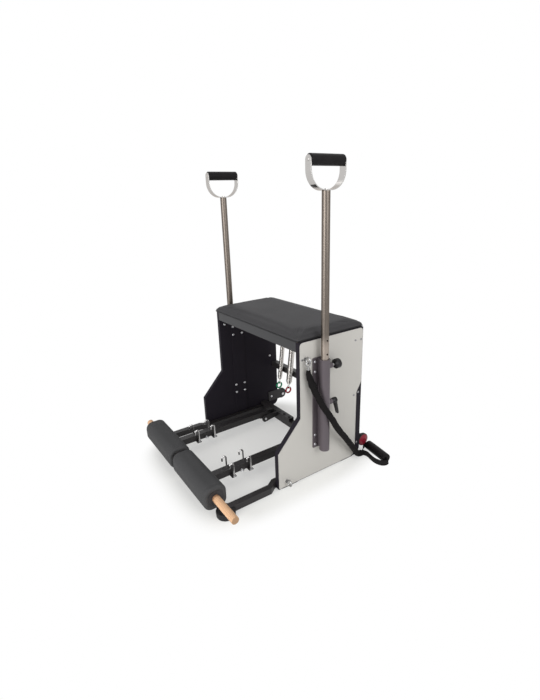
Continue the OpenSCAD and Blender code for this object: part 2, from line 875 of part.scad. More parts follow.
module hooks() {
    for (y = hook_y, s = [-1, 1])
        hook(arm_x + s * hook_spread / 2, y);
    for (s = [-1, 1])
        translate([arm_x + s * (arm_w / 2 + arm_eye_r + 2), arm_eye_y, arm_z + 7]) {
            ring(arm_eye_r, arm_eye_wire / 2);
            rod_x(s > 0 ? -arm_eye_r - 2 : arm_eye_r - 1, s > 0 ? -arm_eye_r + 1 : arm_eye_r + 2,
                0, 0, arm_eye_wire / 2);
        }
}

module right_hooks() {
    color([0.85, 0.85, 0.87]) place() hooks();
}

module left_hooks() {
    color([0.85, 0.85, 0.87]) place() mirrored() hooks();
}

module dowel() {
    color([0.85, 0.68, 0.48]) place()
        translate([dowel_shift - dowel_len / 2, -roller_reach, roller_z]) rotate([0, 90, 0])
            rotate_extrude($fn = 64) polygon(rounded(
                [[0, 0], [dowel_r, 0], [dowel_r, dowel_len], [0, dowel_len]],
                [0, 2, 2, 0]));
}

// Handle tube with a row of height holes on each of two sides
module handle_tube() {
    difference() {
        translate([sleeve_x, sleeve_y, tube_bottom])
            cylinder(h = tube_top - tube_bottom, r = handle_d / 2, $fn = 64);
        translate([sleeve_x, sleeve_y, tube_bottom - 1])
            cylinder(h = tube_top - tube_bottom + 2, r = handle_d / 2 - handle_wall, $fn = 64);
        for (k = [-3 : 2]) {
            rod_x(sleeve_x, sleeve_x + handle_d, sleeve_y, plunger_z + k * hole_pitch,
                plunger_pin_r + 0.2);
            rod_y(sleeve_y, sleeve_y + handle_d, sleeve_x, plunger_z + k * hole_pitch,
                plunger_pin_r + 0.2);
        }
    }
}

module right_tube() {
    color([0.72, 0.69, 0.66]) place() handle_tube();
}

module left_tube() {
    color([0.72, 0.69, 0.66]) place() mirrored() handle_tube();
}

// D-shaped strap bent from flat bar, with rounded upper ends and its rivets
module strap() {
    base = strap_base + strap_t / 2;
    top = grip_z + strap_w / 2;
    path = bent([[-strap_leg, top], [-strap_leg, base], [strap_leg, base], [strap_leg, top]], strap_bend, 14);
    translate([sleeve_x, sleeve_y, 0]) {
        intersection() {
            slab(-strap_w / 2, strap_w / 2) polygon(strip(path, strap_t));
            rotate([90, 0, 0]) translate([0, 0, -strap_width]) linear_extrude(2 * strap_width) union() {
                translate([-strap_w / 2, strap_base]) square([strap_w, grip_z - strap_base]);
                translate([0, grip_z]) circle(r = strap_w / 2, $fn = 64);
            }
        }
        for (s = [0, 180])
            rotate([0, 0, s]) translate([0, strap_leg + strap_t / 2, grip_z]) rotate([-90, 0, 0])
                cylinder(h = 2, r1 = 5, r2 = 4, $fn = 48);
        translate([0, 0, strap_base + strap_t]) cylinder(h = 3, r = 6, $fn = 48);
    }
}

module right_strap() {
    color([0.74, 0.73, 0.71]) place() strap();
}

module left_strap() {
    color([0.74, 0.73, 0.71]) place() mirrored() strap();
}

module grip() {
    inner = strap_leg - strap_t / 2;
    translate([sleeve_x, sleeve_y - inner, grip_z]) rotate([-90, 0, 0]) rotate_extrude($fn = 64)
        polygon(rounded(
            [[0, 0], [grip_d / 2, 0], [grip_d / 2, 2 * inner], [0, 2 * inner]],
            [0, 3, 3, 0]));
}

module right_grip() {
    color([0.1, 0.1, 0.1]) place() grip();
}

module left_grip() {
    color([0.1, 0.1, 0.1]) place() mirrored() grip();
}

// Pull knob and pin of a height lock
knob_y = sleeve_y + boss_reach + rest_gap;

module plunger_knob() {
    translate([sleeve_x, knob_y + 10, plunger_z]) rotate([-90, 0, 0]) difference() {
        rotate_extrude($fn = 64) polygon(rounded(
            [[0, 0], [11, 0], [knob_r, 6], [knob_r, knob_len], [0, knob_len]],
            [0, 2, 3, 5, 0]));
        translate([0, 0, -1]) cylinder(h = 11, r = 6, $fn = 64);
    }
}

module plunger_pin() {
    tip = sleeve_y + handle_d / 2 + tip_gap;
    rod_y(tip, knob_y + 20, sleeve_x, plunger_z, plunger_pin_r);
    rod_y(knob_y, knob_y + 20, sleeve_x, plunger_z, 6);
}

module right_plunger_knob() {
    color([0.08, 0.08, 0.08]) place() plunger_knob();
}

module left_plunger_knob() {
    color([0.08, 0.08, 0.08]) place() mirrored() plunger_knob();
}

module right_plunger_pin() {
    color([0.85, 0.85, 0.87]) place() plunger_pin();
}

module left_plunger_pin() {
    color([0.85, 0.85, 0.87]) place() mirrored() plunger_pin();
}

// Clamp lever: screw, hub and a tapering arm that hangs down
module clamp_lever() {
    tip = sleeve_y + handle_d / 2 + tip_gap;
    hub_y = sleeve_y + boss_reach + rest_gap;
    rod_y(tip, hub_y, sleeve_x, clamp_z, clamp_screw_r);
    translate([sleeve_x, hub_y, clamp_z]) {
        rotate([-90, 0, 0]) rotate_extrude($fn = 64) polygon(rounded(
            [[0, 0], [hub_r - 2, 0], [hub_r, 8], [hub_r, 25], [0, 25]],
            [0, 2, 4, 6, 0]));
        hull() {
            translate([0, 17, -4]) rotate([0, 90, 0]) cylinder(h = 12, r = 6, center = true, $fn = 32);
            translate([0, 30, -56]) rotate([0, 90, 0]) cylinder(h = 11, r = 4, center = true, $fn = 32);
        }
    }
}

module right_clamp_lever() {
    color([0.08, 0.08, 0.08]) place() clamp_lever();
}

module left_clamp_lever() {
    color([0.08, 0.08, 0.08]) place() mirrored() clamp_lever();
}

// Hanging springs: one unbroken wire from the upper loop through the coil to the lower loop
loop_centre = loop_r - eye_wire_r - 2;
lower_loop_r = 7.5;
lower_loop_steps = 12;
ring_top = ring_depth - ring_r;

// Depth of the wire centre at the foot of the lower loop
function lower_foot(wire) = ring_top + wire / 2 + ring_wire_r + 0.3;

function spring_path(coil_r, wire) =
    let (
        foot = lower_foot(wire),
        lc = foot - lower_loop_r,
        cone_end = lc - lower_loop_r - 2,
        pitch = (body_end - body_start) / body_curls,
        top_turn = 0.75,
        top_start = loop_centre + loop_r + wire,
        body_n = body_curls * curl_rings,
        top_n = top_turn * curl_rings,
        end_n = taper_curls * curl_rings,
        first = -90)
    concat(
        [for (k = [0 : 8]) let (a = -130 + 310 * k / 8)
            [0, loop_r * sin(a), -loop_centre - loop_r * -cos(a)]],
        [for (k = [1 : top_n - 1]) let (t = k / top_n, a = first + 360 * top_turn * t)
            [coil_r * t * cos(a), coil_r * t * sin(a), -(top_start + (body_start + 6 - top_start) * t)]],
        [for (k = [0 : body_n]) let (a = first + 360 * (top_turn + k / curl_rings))
            [coil_r * cos(a), coil_r * sin(a), -(body_start + 6 + (body_end - body_start - 6) * k / body_n)]],
        [for (k = [1 : end_n - 1]) let (t = k / end_n,
            a = first + 360 * (top_turn + body_curls + taper_curls * t))
            [coil_r * (1 - t) * cos(a), coil_r * (1 - t) * sin(a), -(body_end + (cone_end - body_end) * t)]],
        [for (k = [0 : lower_loop_steps]) let (a = 180 + 310 * k / lower_loop_steps)
            [-lower_loop_r * sin(a), 0, -lc - lower_loop_r * cos(a)]]);

// Least distance between parts of the wire that are more than half a curl apart along it
function least_gap(p, wire) =
    min([for (i = [0 : len(p) - 7]) for (j = [i + 6 : min(i + 14, len(p) - 1)])
        norm(p[i] - p[j])]) - wire;

module spring_at(x, d, wire) {
    path = spring_path((d - wire) / 2, wire);
    echo(spring_gap = least_gap(path, wire));
    translate([x, spring_eye_y, spring_eye_z]) rotate([-spring_lean, 0, 0])
        tube_along(path, wire / 2, wire_sides, [1, 0, 0]);
}

module ring_at(x) {
    translate([x, spring_eye_y, spring_eye_z]) rotate([-spring_lean, 0, 0])
        translate([0, 0, -ring_depth]) rotate([0, 90, 0]) ring(ring_r, ring_wire_r);
}

module right_outer_spring() {
    color([0.7, 0.69, 0.67]) place() spring_at(outer_spring_x, outer_spring_d, outer_wire_d);
}

module right_inner_spring() {
    color([0.7, 0.69, 0.67]) place() spring_at(inner_spring_x, inner_spring_d, inner_wire_d);
}

module left_inner_spring() {
    color([0.7, 0.69, 0.67]) place() spring_at(-inner_spring_x, inner_spring_d, inner_wire_d);
}

module left_outer_spring() {
    color([0.7, 0.69, 0.67]) place() spring_at(-outer_spring_x, outer_spring_d, outer_wire_d);
}

module right_outer_ring() {
    color([0.1, 0.5, 0.33]) place() ring_at(outer_spring_x);
}

module right_inner_ring() {
    color([0.6, 0.08, 0.12]) place() ring_at(inner_spring_x);
}

module left_inner_ring() {
    color([0.6, 0.08, 0.12]) place() ring_at(-inner_spring_x);
}

module left_outer_ring() {
    color([0.1, 0.5, 0.33]) place() ring_at(-outer_spring_x);
}

// Resistance band that hangs from the upper eye on the right and ends on the floor
module band_tube() {
    color([0.07, 0.07, 0.07]) place()
        tube_along(smooth(band_route, band_steps), band_r, band_sides, [1, 0, 0]);
}

// Snap clip: a wire ring through the eye bolt, a swivel and a ferrule
module band_clip() {
    wire = 2.5;
    clip_r = 9;
    top = upper_eye[1] - eye_ring_r + eye_wire + wire + 0.1;
    start = band_route[0];
    color([0.8, 0.8, 0.82]) place() translate([eye_x, upper_eye[0], 0]) {
        translate([0, 0, top - clip_r]) rotate([0, 90, 0]) ring(clip_r, wire);
        translate([0, 0, top - 2 * clip_r - 7]) cylinder(h = 7, r = 3, $fn = 32);
        translate([0, 0, start[2]]) cylinder(h = top - 2 * clip_r - 6 - start[2], r = 5.5, $fn = 48);
    }
}

module band_grip() {
    run = band_near - band_far;
    color([0.08, 0.08, 0.08]) place() translate([band_far[0], band_far[1], band_grip_z])
        rotate([0, 0, atan2(run[1], run[0])]) rotate([0, 90, 0]) rotate_extrude($fn = 48)
            polygon(rounded(
                [[0, 0], [band_grip_r, 0], [band_grip_r, norm(run)], [0, norm(run)]],
                [0, 3, 3, 0]));
}

// Webbing from the end of the band to both ends of the grip, standing on edge
module band_webbing() {
    seam = [band_end[0], band_end[1] + soft_gap];
    fork = seam + [0, 7];
    g = unit(band_near - band_far);
    near = [[350, 164], [374, 149], [403, 143], [430, 153], [441, 172]];
    far = [[298, 198]];
    color([0.1, 0.1, 0.1]) place() translate([0, 0, web_low]) linear_extrude(web_high - web_low) {
        polygon(strip(bent(concat([seam, fork], near, [band_near + 12 * g, band_near]), 5), web_thick));
        polygon(strip(bent(concat([seam, fork], far, [band_far - 12 * g, band_far]), 5), web_thick));
    }
}

right_panel();
left_panel();
face_sheets();
backing_plates();
front_top_rail();
rear_top_rail();
mid_cross_bar();
rear_floor_bar();
base_frame();
front_feet();
floor_pads();
pedal_rests();
pivot_brackets();
pivot_pins();
right_sleeve();
left_sleeve();
sleeve_bolts();
panel_screws();
eye_bolts();
wheel_brackets();
wheel_axles();
seat_board();
seat_cushion();
spring_eyes();
right_arm();
right_pad();
right_pad_ends();
right_hooks();
left_arm();
left_pad();
left_pad_ends();
left_hooks();
dowel();
right_tube();
right_strap();
right_grip();
left_tube();
left_strap();
left_grip();
right_plunger_knob();
right_plunger_pin();
left_plunger_knob();
left_plunger_pin();
right_clamp_lever();
left_clamp_lever();
right_wheel();
left_wheel();
right_outer_spring();
right_inner_spring();
left_inner_spring();
left_outer_spring();
right_outer_ring();
right_inner_ring();
left_inner_ring();
left_outer_ring();
band_tube();
band_clip();
band_grip();
band_webbing();
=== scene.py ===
"""Pilates chair: upholstery, finishes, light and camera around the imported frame."""

import json
import logging
from collections.abc import Callable
from dataclasses import dataclass
from enum import Enum
from math import atan2, cos, exp, hypot, pi, radians, sin

import bmesh
import bpy
from mathutils import Matrix, Vector, noise


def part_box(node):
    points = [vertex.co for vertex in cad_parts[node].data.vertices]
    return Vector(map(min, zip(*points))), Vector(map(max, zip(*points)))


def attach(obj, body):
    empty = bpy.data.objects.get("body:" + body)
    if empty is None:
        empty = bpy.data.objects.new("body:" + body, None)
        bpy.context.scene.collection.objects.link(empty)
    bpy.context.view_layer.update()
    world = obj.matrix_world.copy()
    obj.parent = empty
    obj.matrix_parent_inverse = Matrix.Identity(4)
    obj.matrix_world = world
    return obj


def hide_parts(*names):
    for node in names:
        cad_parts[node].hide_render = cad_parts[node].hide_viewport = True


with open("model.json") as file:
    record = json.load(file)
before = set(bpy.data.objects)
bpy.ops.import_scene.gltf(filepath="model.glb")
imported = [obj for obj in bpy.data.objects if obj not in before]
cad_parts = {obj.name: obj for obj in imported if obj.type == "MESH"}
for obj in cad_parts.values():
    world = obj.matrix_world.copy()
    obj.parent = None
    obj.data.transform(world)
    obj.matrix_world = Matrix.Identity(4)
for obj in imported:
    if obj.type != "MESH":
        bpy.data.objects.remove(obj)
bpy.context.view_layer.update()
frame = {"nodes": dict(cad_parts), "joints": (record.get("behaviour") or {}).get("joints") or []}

LOG = logging.getLogger("pilates_chair")
MM = 0.001
# Middle of the seat on the floor, in the frame's own coordinates
SHIFT = Vector((-0.030, 0.1735, 0.0))
ACROSS = Vector((1, 0, 0))
UP = Vector((0, 0, 1))
# Sockets of the Mix node for colours: first colour, second colour and result
MIX_A, MIX_B, MIX_RESULT = 6, 7, 2
Triple = tuple[float, float, float]
Colour = Triple
Span = tuple[float, float]
Inputs = dict[str | int, object]
Piece = bpy.types.Object
Points = list[Vector]
Outline = list[tuple[float, float]]
WHOLE: Triple = (1.0, 1.0, 1.0)


class Side(Enum):
    """The two sides of the chair, with their sign along X."""

    RIGHT = 1
    LEFT = -1

    @property
    def word(self) -> str:
        """Name used in nodes and bodies."""
        return self.name.lower()


class Grain(Enum):
    """Axis along which a finish is drawn out."""

    Z = (1.0, 1.0, 0.06)
    NONE = WHOLE


def place(x: float, y: float, z: float) -> Vector:
    """Turns a place about the middle of the seat into the frame's own coordinates.

    Args:
        x: Millimetres across the chair.
        y: Millimetres behind the middle of the seat.
        z: Millimetres above the floor.

    Returns:
        The point in metres.
    """
    return Vector((x, y, z)) * MM + SHIFT


class Value:
    """A node's output socket in an expression."""

    def __init__(self, graph: "Graph", socket: bpy.types.NodeSocket) -> None:
        """Keeps the socket and the graph it belongs to."""
        self.graph = graph
        self.socket = socket

    def __add__(self, other: "Value | float") -> "Value":
        """Sum."""
        return self.graph.math("ADD", self, other)

    __radd__ = __add__

    def __mul__(self, other: "Value | float") -> "Value":
        """Product."""
        return self.graph.math("MULTIPLY", self, other)

    __rmul__ = __mul__

    def __sub__(self, other: "Value | float") -> "Value":
        """Difference."""
        return self.graph.math("SUBTRACT", self, other)

    def __rsub__(self, other: "Value | float") -> "Value":
        """Reflected difference."""
        return self.graph.math("SUBTRACT", other, self)

    def __truediv__(self, other: "Value | float") -> "Value":
        """Quotient."""
        return self.graph.math("DIVIDE", self, other)

    def __rtruediv__(self, other: "Value | float") -> "Value":
        """Reflected quotient."""
        return self.graph.math("DIVIDE", other, self)

    def __pow__(self, other: "Value | float") -> "Value":
        """Power."""
        return self.graph.math("POWER", self, other)


class Graph:
    """Node tree of one material or world."""

    def __init__(self, tree: bpy.types.NodeTree) -> None:
        """Empties the tree and keeps it."""
        self.tree = tree
        self.tree.nodes.clear()

    def node(
        self,
        kind: str,
        settings: Inputs | None = None,
        inputs: Inputs | None = None,
        output: str | int = 0,
    ) -> Value:
        """Adds one node.

        Args:
            kind: The node's type after ShaderNode, such as Math.
            settings: Its properties, which are set first.
            inputs: Values or links of its sockets by name or number.
            output: Name or number of the socket to return.

        Returns:
            The chosen output.
        """
        node = self.tree.nodes.new(f"ShaderNode{kind}")
        for name, value in (settings or {}).items():
            setattr(node, name, value)
        for name, value in (inputs or {}).items():
            if isinstance(value, Value):
                self.tree.links.new(value.socket, node.inputs[name])
            else:
                node.inputs[name].default_value = value
        outlet = node.outputs[output] if len(node.outputs) else None
        return Value(self, outlet)

    def math(self, operation: str, a: Value | float, b: Value | float) -> Value:
        """One Math node."""
        return self.node("Math", {"operation": operation}, {0: a, 1: b})

    def clamp(self, value: Value) -> Value:
        """Limits a value to 0 and 1."""
        return self.node("Clamp", {}, {"Value": value})

    def between(self, value: Value, low: float, high: float) -> Value:
        """Smooth step of a value, 0 at low and 1 at high."""
        inputs = {"Value": value, "From Min": low, "From Max": high}
        return self.node("MapRange", {"interpolation_type": "SMOOTHSTEP"}, inputs)

    def mix(self, mask: Value | float, a: Value | Colour, b: Value | Colour) -> Value:
        """Mixes two colours.

        Args:
            mask: 0 gives a, 1 gives b.
            a: First colour.
            b: Second colour.

        Returns:
            The mixed colour.
        """
        first, second = (c if isinstance(c, Value) else (*c, 1.0) for c in (a, b))
        inputs = {0: mask, MIX_A: first, MIX_B: second}
        return self.node("Mix", {"data_type": "RGBA"}, inputs, MIX_RESULT)

    def place(self, scale: Triple = WHOLE) -> Value:
        """Coordinates of the surface in metres, stretched by scale."""
        spot = self.node("TexCoord", {}, {}, "Object")
        return self.node("Mapping", {}, {"Vector": spot, "Scale": scale})

    def axes(self) -> tuple[Value, Value, Value]:
        """The surface's X, Y and Z in metres.

        Returns:
            X, Y and Z.
        """
        spot = self.node("TexCoord", {}, {}, "Object")
        parts = self.node("SeparateXYZ", {}, {0: spot})
        return tuple(Value(self, outlet) for outlet in parts.socket.node.outputs)

    def shown(self) -> Value:
        """1 for what the camera sees, straight or in metal or glass, and 0 for other light.

        Returns:
            The mask.
        """
        rays = self.node("LightPath").socket.node.outputs
        kinds = ("Is Camera Ray", "Is Glossy Ray", "Is Transmission Ray")
        return self.clamp(sum(Value(self, rays[kind]) for kind in kinds))

    def noise(self, scale: float, detail: float = 3.0, stretch: Triple = WHOLE) -> Value:
        """Noise from 0 to 1 with scale features per metre."""
        inputs = {"Vector": self.place(stretch), "Scale": scale, "Detail": detail}
        return self.node("TexNoise", {}, inputs)

    def cells(self, scale: float, feature: str = "F1") -> Value:
        """Distance in a pattern with scale cells per metre."""
        inputs = {"Vector": self.place(), "Scale": scale}
        return self.node("TexVoronoi", {"feature": feature}, inputs, "Distance")

    def bands(self, settings: Inputs, inputs: Inputs) -> Value:
        """Bands across the surface, such as growth rings or threads."""
        return self.node("TexWave", {"wave_type": "BANDS", **settings}, inputs, "Fac")

    def bump(self, height: Value, depth: float, strength: float, rounding: float = 0.0) -> Value:
        """Normal of a relief.

        Args:
            height: Height from 0 to 1.
            depth: Depth of the relief in metres.
            strength: Strength of the effect.
            rounding: Radius to which sharp edges look rounded, in metres.

        Returns:
            The normal.
        """
        inputs = {"Height": height, "Distance": depth, "Strength": strength}
        if rounding:
            inputs["Normal"] = self.rounded(rounding)
        return self.node("Bump", {}, inputs)

    def rounded(self, radius: float) -> Value:
        """Normal of the surface with its edges rounded off."""
        return self.node("Bevel", {"samples": 6}, {"Radius": radius})

    def worn(self, radius: float) -> Value:
        """Mask from 0 on a face to 1 on an edge.

        Args:
            radius: Reach of the wear in metres.

        Returns:
            The mask.
        """
        flat = self.node("NewGeometry", {}, {}, "Normal")
        both = {0: self.rounded(radius), 1: flat}
        same = self.node("VectorMath", {"operation": "DOT_PRODUCT"}, both, "Value")
        return self.between(1.0 - same, 0.03, 0.3)


def scaled(colour: Colour, factor: float) -> Colour:
    """A colour made lighter or darker."""
    return tuple(min(1.0, c * factor) for c in colour)


def empty_material(title: str) -> tuple[bpy.types.Material, Graph]:
    """Makes a material and the graph of its nodes.

    Args:
        title: Name of the material.

    Returns:
        The material and its graph.
    """
    material = bpy.data.materials.new(title)
    material.use_nodes = True
    return material, Graph(material.node_tree)


@dataclass(frozen=True)
class Finish:
    """A surface finish; each kind says how it varies over the piece."""

    name: str
    colour: Colour
    rough: float = 0.5
    metal: float = 0.0
    gloss: float = 0.5

    def tone(self, graph: Graph, mask: Value, low: float, high: float) -> Value:
        """The colour, mixed by a mask from a darker to a lighter tone."""
        return graph.mix(mask, scaled(self.colour, low), scaled(self.colour, high))

    def surface(self, graph: Graph) -> Inputs:
        """Inputs of the surface shader.

        Args:
            graph: The material's node tree.

        Returns:
            Value or link by socket name.
        """
        raise NotImplementedError

    def make(self) -> bpy.types.Material:
        """Builds the material once and returns it.

        Returns:
            The material.
        """
        title = f"{self.name}_finish"
        known = bpy.data.materials.get(title)
        if known:
            return known
        material, graph = empty_material(title)
        inputs = {"Metallic": self.metal, "Specular IOR Level": self.gloss, **self.surface(graph)}
        shader = graph.node("BsdfPrincipled", {}, inputs)
        graph.node("OutputMaterial", {}, {"Surface": shader})
        return material


@dataclass(frozen=True)
class PowderCoat(Finish):
    """Baked paint with a fine orange peel, dust in its hollows and wear along its edges."""

    peel: float = 900.0
    depth: float = 0.0001
    wear: float = 0.35
    edge: float = 0.0012

    def surface(self, graph: Graph) -> Inputs:
        """Adds the peel, the dust and the wear.

        Args:
            graph: The material's node tree.

        Returns:
            Value or link by socket name.
        """
        peel = graph.noise(self.peel, 2.0)
        cloud = graph.noise(6.0, 5.0)
        scuff = graph.between(graph.noise(55.0, 6.0, (1.0, 0.35, 1.0)), 0.68, 0.8)
        edge = graph.worn(self.edge) * graph.between(graph.noise(120.0, 4.0), 0.3, 0.6)
        base = self.tone(graph, cloud, 0.86, 1.16)
        dusty = graph.mix(scuff * 0.12, base, scaled(self.colour, 2.0))
        return {
            "Base Color": graph.mix(edge * self.wear, dusty, scaled(self.colour, 3.0)),
            "Roughness": graph.clamp(self.rough + (peel - 0.5) * 0.12 + scuff * 0.1 - edge * 0.08),
            "Normal": graph.bump(peel, self.depth, 0.5, self.edge),
        }


@dataclass(frozen=True)
class Laminate(Finish):
    """Pressed laminate sheet with a faint pebble and hand marks."""

    pebble: float = 1400.0
    depth: float = 0.00005
    edge: float = 0.0006

    def surface(self, graph: Graph) -> Inputs:
        """Adds the pebble and the marks.

        Args:
            graph: The material's node tree.

        Returns:
            Value or link by socket name.
        """
        pebble = graph.cells(self.pebble)
        cloud = graph.noise(3.0, 6.0)
        marks = graph.between(graph.noise(16.0, 7.0, (1.0, 1.0, 0.4)), 0.56, 0.74)
        base = self.tone(graph, cloud, 0.94, 1.05)
        return {
            "Base Color": graph.mix(marks * 0.16, base, scaled(self.colour, 0.84)),
            "Roughness": graph.clamp(self.rough + (cloud - 0.5) * 0.12 + marks * 0.08),
            "Normal": graph.bump(pebble, self.depth, 0.3, self.edge),
        }


@dataclass(frozen=True)
class Vinyl(Finish):
    """Upholstery vinyl with an embossed leather grain."""

    cell: float = 620.0
    depth: float = 0.00025

    def surface(self, graph: Graph) -> Inputs:
        """Adds the grain and its creases, with painted shade in their hollows, and a soft sheen.

        Args:
            graph: The material's node tree.

        Returns:
            Value or link by socket name.
        """
        warp = graph.noise(90.0, 3.0)
        grain = graph.cells(self.cell, "SMOOTH_F1")
        crease = graph.cells(self.cell * 0.45, "DISTANCE_TO_EDGE")
        cloud = graph.noise(7.0, 4.0)
        relief = graph.clamp(grain * 0.7 + graph.between(crease, 0.0, 0.12) * 0.45 + warp * 0.25)
        base = self.tone(graph, cloud, 0.9, 1.1)
        return {
            # Painted shade: the colour is darker where the relief is low, in the grain's hollows
            # and creases
            "Base Color": graph.mix(relief, scaled(self.colour, 0.8), base),
            "Roughness": graph.clamp(self.rough + (cloud - 0.5) * 0.14 - relief * 0.06),
            "Normal": graph.bump(relief, self.depth, 0.4),
        }


@dataclass(frozen=True)
class Foam(Finish):
    """Closed cell foam skin: fine pores, scuffs and a dull sheen."""

    pore: float = 1900.0
    depth: float = 0.00015

    def surface(self, graph: Graph) -> Inputs:
        """Adds pores and scuffs.

        Args:
            graph: The material's node tree.

        Returns:
            Value or link by socket name.
        """
        pores = graph.cells(self.pore)
        cloud = graph.noise(9.0, 5.0)
        scuff = graph.between(graph.noise(34.0, 6.0, (0.3, 1.0, 1.0)), 0.62, 0.8)
        base = self.tone(graph, cloud, 0.9, 1.12)
        return {
            "Base Color": graph.mix(scuff * 0.16, base, scaled(self.colour, 1.5)),
            "Roughness": graph.clamp(self.rough + (cloud - 0.5) * 0.12),
            "Normal": graph.bump(pores, self.depth, 0.35),
        }


@dataclass(frozen=True)
class BrushedSteel(Finish):
    """Steel with fine lines along its grain, a few finger marks and a painted reflection that makes
    it paler below a height.
    """

    grain: Grain = Grain.NONE
    line: float = 1500.0
    relief: float = 0.3
    # Height in metres below which the steel gets a painted reflection, much paler than above it
    pale: float = -1.0
    tint: Colour = (0.7, 0.66, 0.63)

    def surface(self, graph: Graph) -> Inputs:
        """Adds the lines, the marks and the painted reflection that makes the stretch below a
        height paler.

        Args:
            graph: The material's node tree.

        Returns:
            Value or link by socket name.
        """
        lines = graph.noise(self.line, 3.0, self.grain.value)
        marks = graph.noise(16.0, 5.0)
        # Painted reflection: below the height, the steel's colour is painted much paler
        low = 1.0 - graph.between(graph.axes()[2], self.pale - 0.03, self.pale + 0.03)
        drawn = self.tone(graph, lines, 0.88, 1.1)
        base = graph.mix(low * 0.8, drawn, scaled(self.colour, 2.7))
        smear = graph.between(marks, 0.5, 0.75) * 0.2
        return {
            "Base Color": graph.mix(smear, base, scaled(self.colour, 0.74)),
            "Roughness": graph.clamp(self.rough + (lines - 0.5) * 0.14 + (marks - 0.5) * 0.08),
            "Metallic": 1.0,
            "Specular Tint": (*self.tint, 1.0),
            "Normal": graph.bump(lines, 0.00002, self.relief, 0.0008),
        }


@dataclass(frozen=True)
class Plated(Finish):
    """Chrome or zinc plate with a slight haze."""

    def surface(self, graph: Graph) -> Inputs:
        """Adds the haze.

        Args:
            graph: The material's node tree.

        Returns:
            Value or link by socket name.
        """
        haze = graph.noise(140.0, 4.0)
        return {
            "Base Color": self.tone(graph, haze, 0.84, 1.0),
            "Roughness": graph.clamp(self.rough + (haze - 0.5) * 0.1),
            "Metallic": 1.0,
        }


@dataclass(frozen=True)
class TurnedWood(Finish):
    """Pale turned wood with its grain along X, dark at its cut ends, with painted shade where it
    enters the rollers.
    """

    ends: Span = (-10.0, 10.0)
    mouths: Span = (-10.0, 10.0)
    # Colour of the painted shade beside the rollers' mouths
    stain: Colour = (0.2, 0.085, 0.04)

    def beside(self, graph: Graph, x: Value, mouth: float) -> Value:
        """Mask of the painted shade, falling from 1 at a roller's mouth to 0 away from it."""
        away = ((x - mouth) ** 2.0) ** 0.5
        return 1.0 - graph.between(away, 0.002, 0.016)

    def surface(self, graph: Graph) -> Inputs:
        """Adds the grain, the pores, the dark cut ends and the painted shade where the dowel enters
        the rollers.

        Args:
            graph: The material's node tree.

        Returns:
            Value or link by socket name.
        """
        x = graph.axes()[0]
        warp = graph.noise(6.0, 3.0, (0.25, 1.0, 1.0))
        rings = graph.bands(
            {"bands_direction": "Y", "wave_profile": "SAW"},
            {
                "Vector": graph.place((0.35, 1.0, 0.55)),
                "Scale": 70.0,
                "Distortion": 5.5,
                "Detail": 3.0,
                "Detail Scale": 1.4,
            },
        )
        pores = graph.between(graph.noise(900.0, 3.0, (0.04, 1.0, 1.0)), 0.56, 0.7)
        first, last = self.ends
        cut = graph.clamp(
            graph.between(x, last - 0.0012, last - 0.0004)
            + 1.0 - graph.between(x, first + 0.0004, first + 0.0012)
        )
        # Painted shade where the dowel goes into each roller, darkest at the mouth
        painted_shade_at_mouths = graph.clamp(sum(self.beside(graph, x, mouth) for mouth in self.mouths))
        grain = self.tone(graph, rings * 0.6 + warp * 0.3, 1.12, 0.72)
        base = graph.mix(painted_shade_at_mouths * 0.75, grain, self.stain)
        turned = graph.mix(pores * 0.3, base, scaled(self.colour, 0.55))
        return {
            "Base Color": graph.mix(cut * 0.9, turned, scaled(self.colour, 0.5)),
            "Roughness": graph.clamp(self.rough + pores * 0.15 + cut * 0.2),
            "Normal": graph.bump(pores, 0.0001, 0.3),
        }


@dataclass(frozen=True)
class Moulded(Finish):
    """Moulded plastic or rubber with a fine spark texture."""

    spark: float = 1600.0
    depth: float = 0.00008
    relief: float = 0.4
    edge: float = 0.0008

    def surface(self, graph: Graph) -> Inputs:
        """Adds the texture and dust.

        Args:
            graph: The material's node tree.

        Returns:
            Value or link by socket name.
        """
        spark = graph.noise(self.spark, 2.0)
        dust = graph.between(graph.noise(25.0, 6.0), 0.45, 0.8)
        return {
            "Base Color": self.tone(graph, dust, 1.0, 1.5),
            "Roughness": graph.clamp(self.rough + (dust - 0.5) * 0.12),
            "Normal": graph.bump(spark, self.depth, self.relief, self.edge),
        }


@dataclass(frozen=True)
class WheelFinish(Finish):
    """Red domed wheel with a black tread, told apart by the distance from the axle."""

    axle: Span = (0.0, 0.0)
    dome: float = 0.0245
    centre: float = 0.0
    face: float = 0.3
    blur: float = 0.0004
    tread: Colour = (0.014, 0.013, 0.014)
    tread_rough: float = 0.6

    def surface(self, graph: Graph) -> Inputs:
        """Mixes the dome and the tread by radius and by the distance from the chair's middle.

        Args:
            graph: The material's node tree.

        Returns:
            Value or link by socket name.
        """
        x, y, z = graph.axes()
        radius = ((y - self.axle[0]) ** 2.0 + (z - self.axle[1]) ** 2.0) ** 0.5
        out = ((x - self.centre) ** 2.0) ** 0.5
        inside = 1.0 - graph.between(radius, self.dome - self.blur, self.dome + self.blur)
        dome = inside * graph.between(out, self.face - self.blur, self.face + self.blur)
        dust = graph.noise(120.0, 5.0)
        polish = dome * (self.tread_rough - self.rough)
        return {
            "Base Color": graph.mix(dome, self.tread, self.tone(graph, dust, 0.8, 1.2)),
            "Roughness": graph.clamp(self.tread_rough - polish + (dust - 0.5) * 0.08),
        }


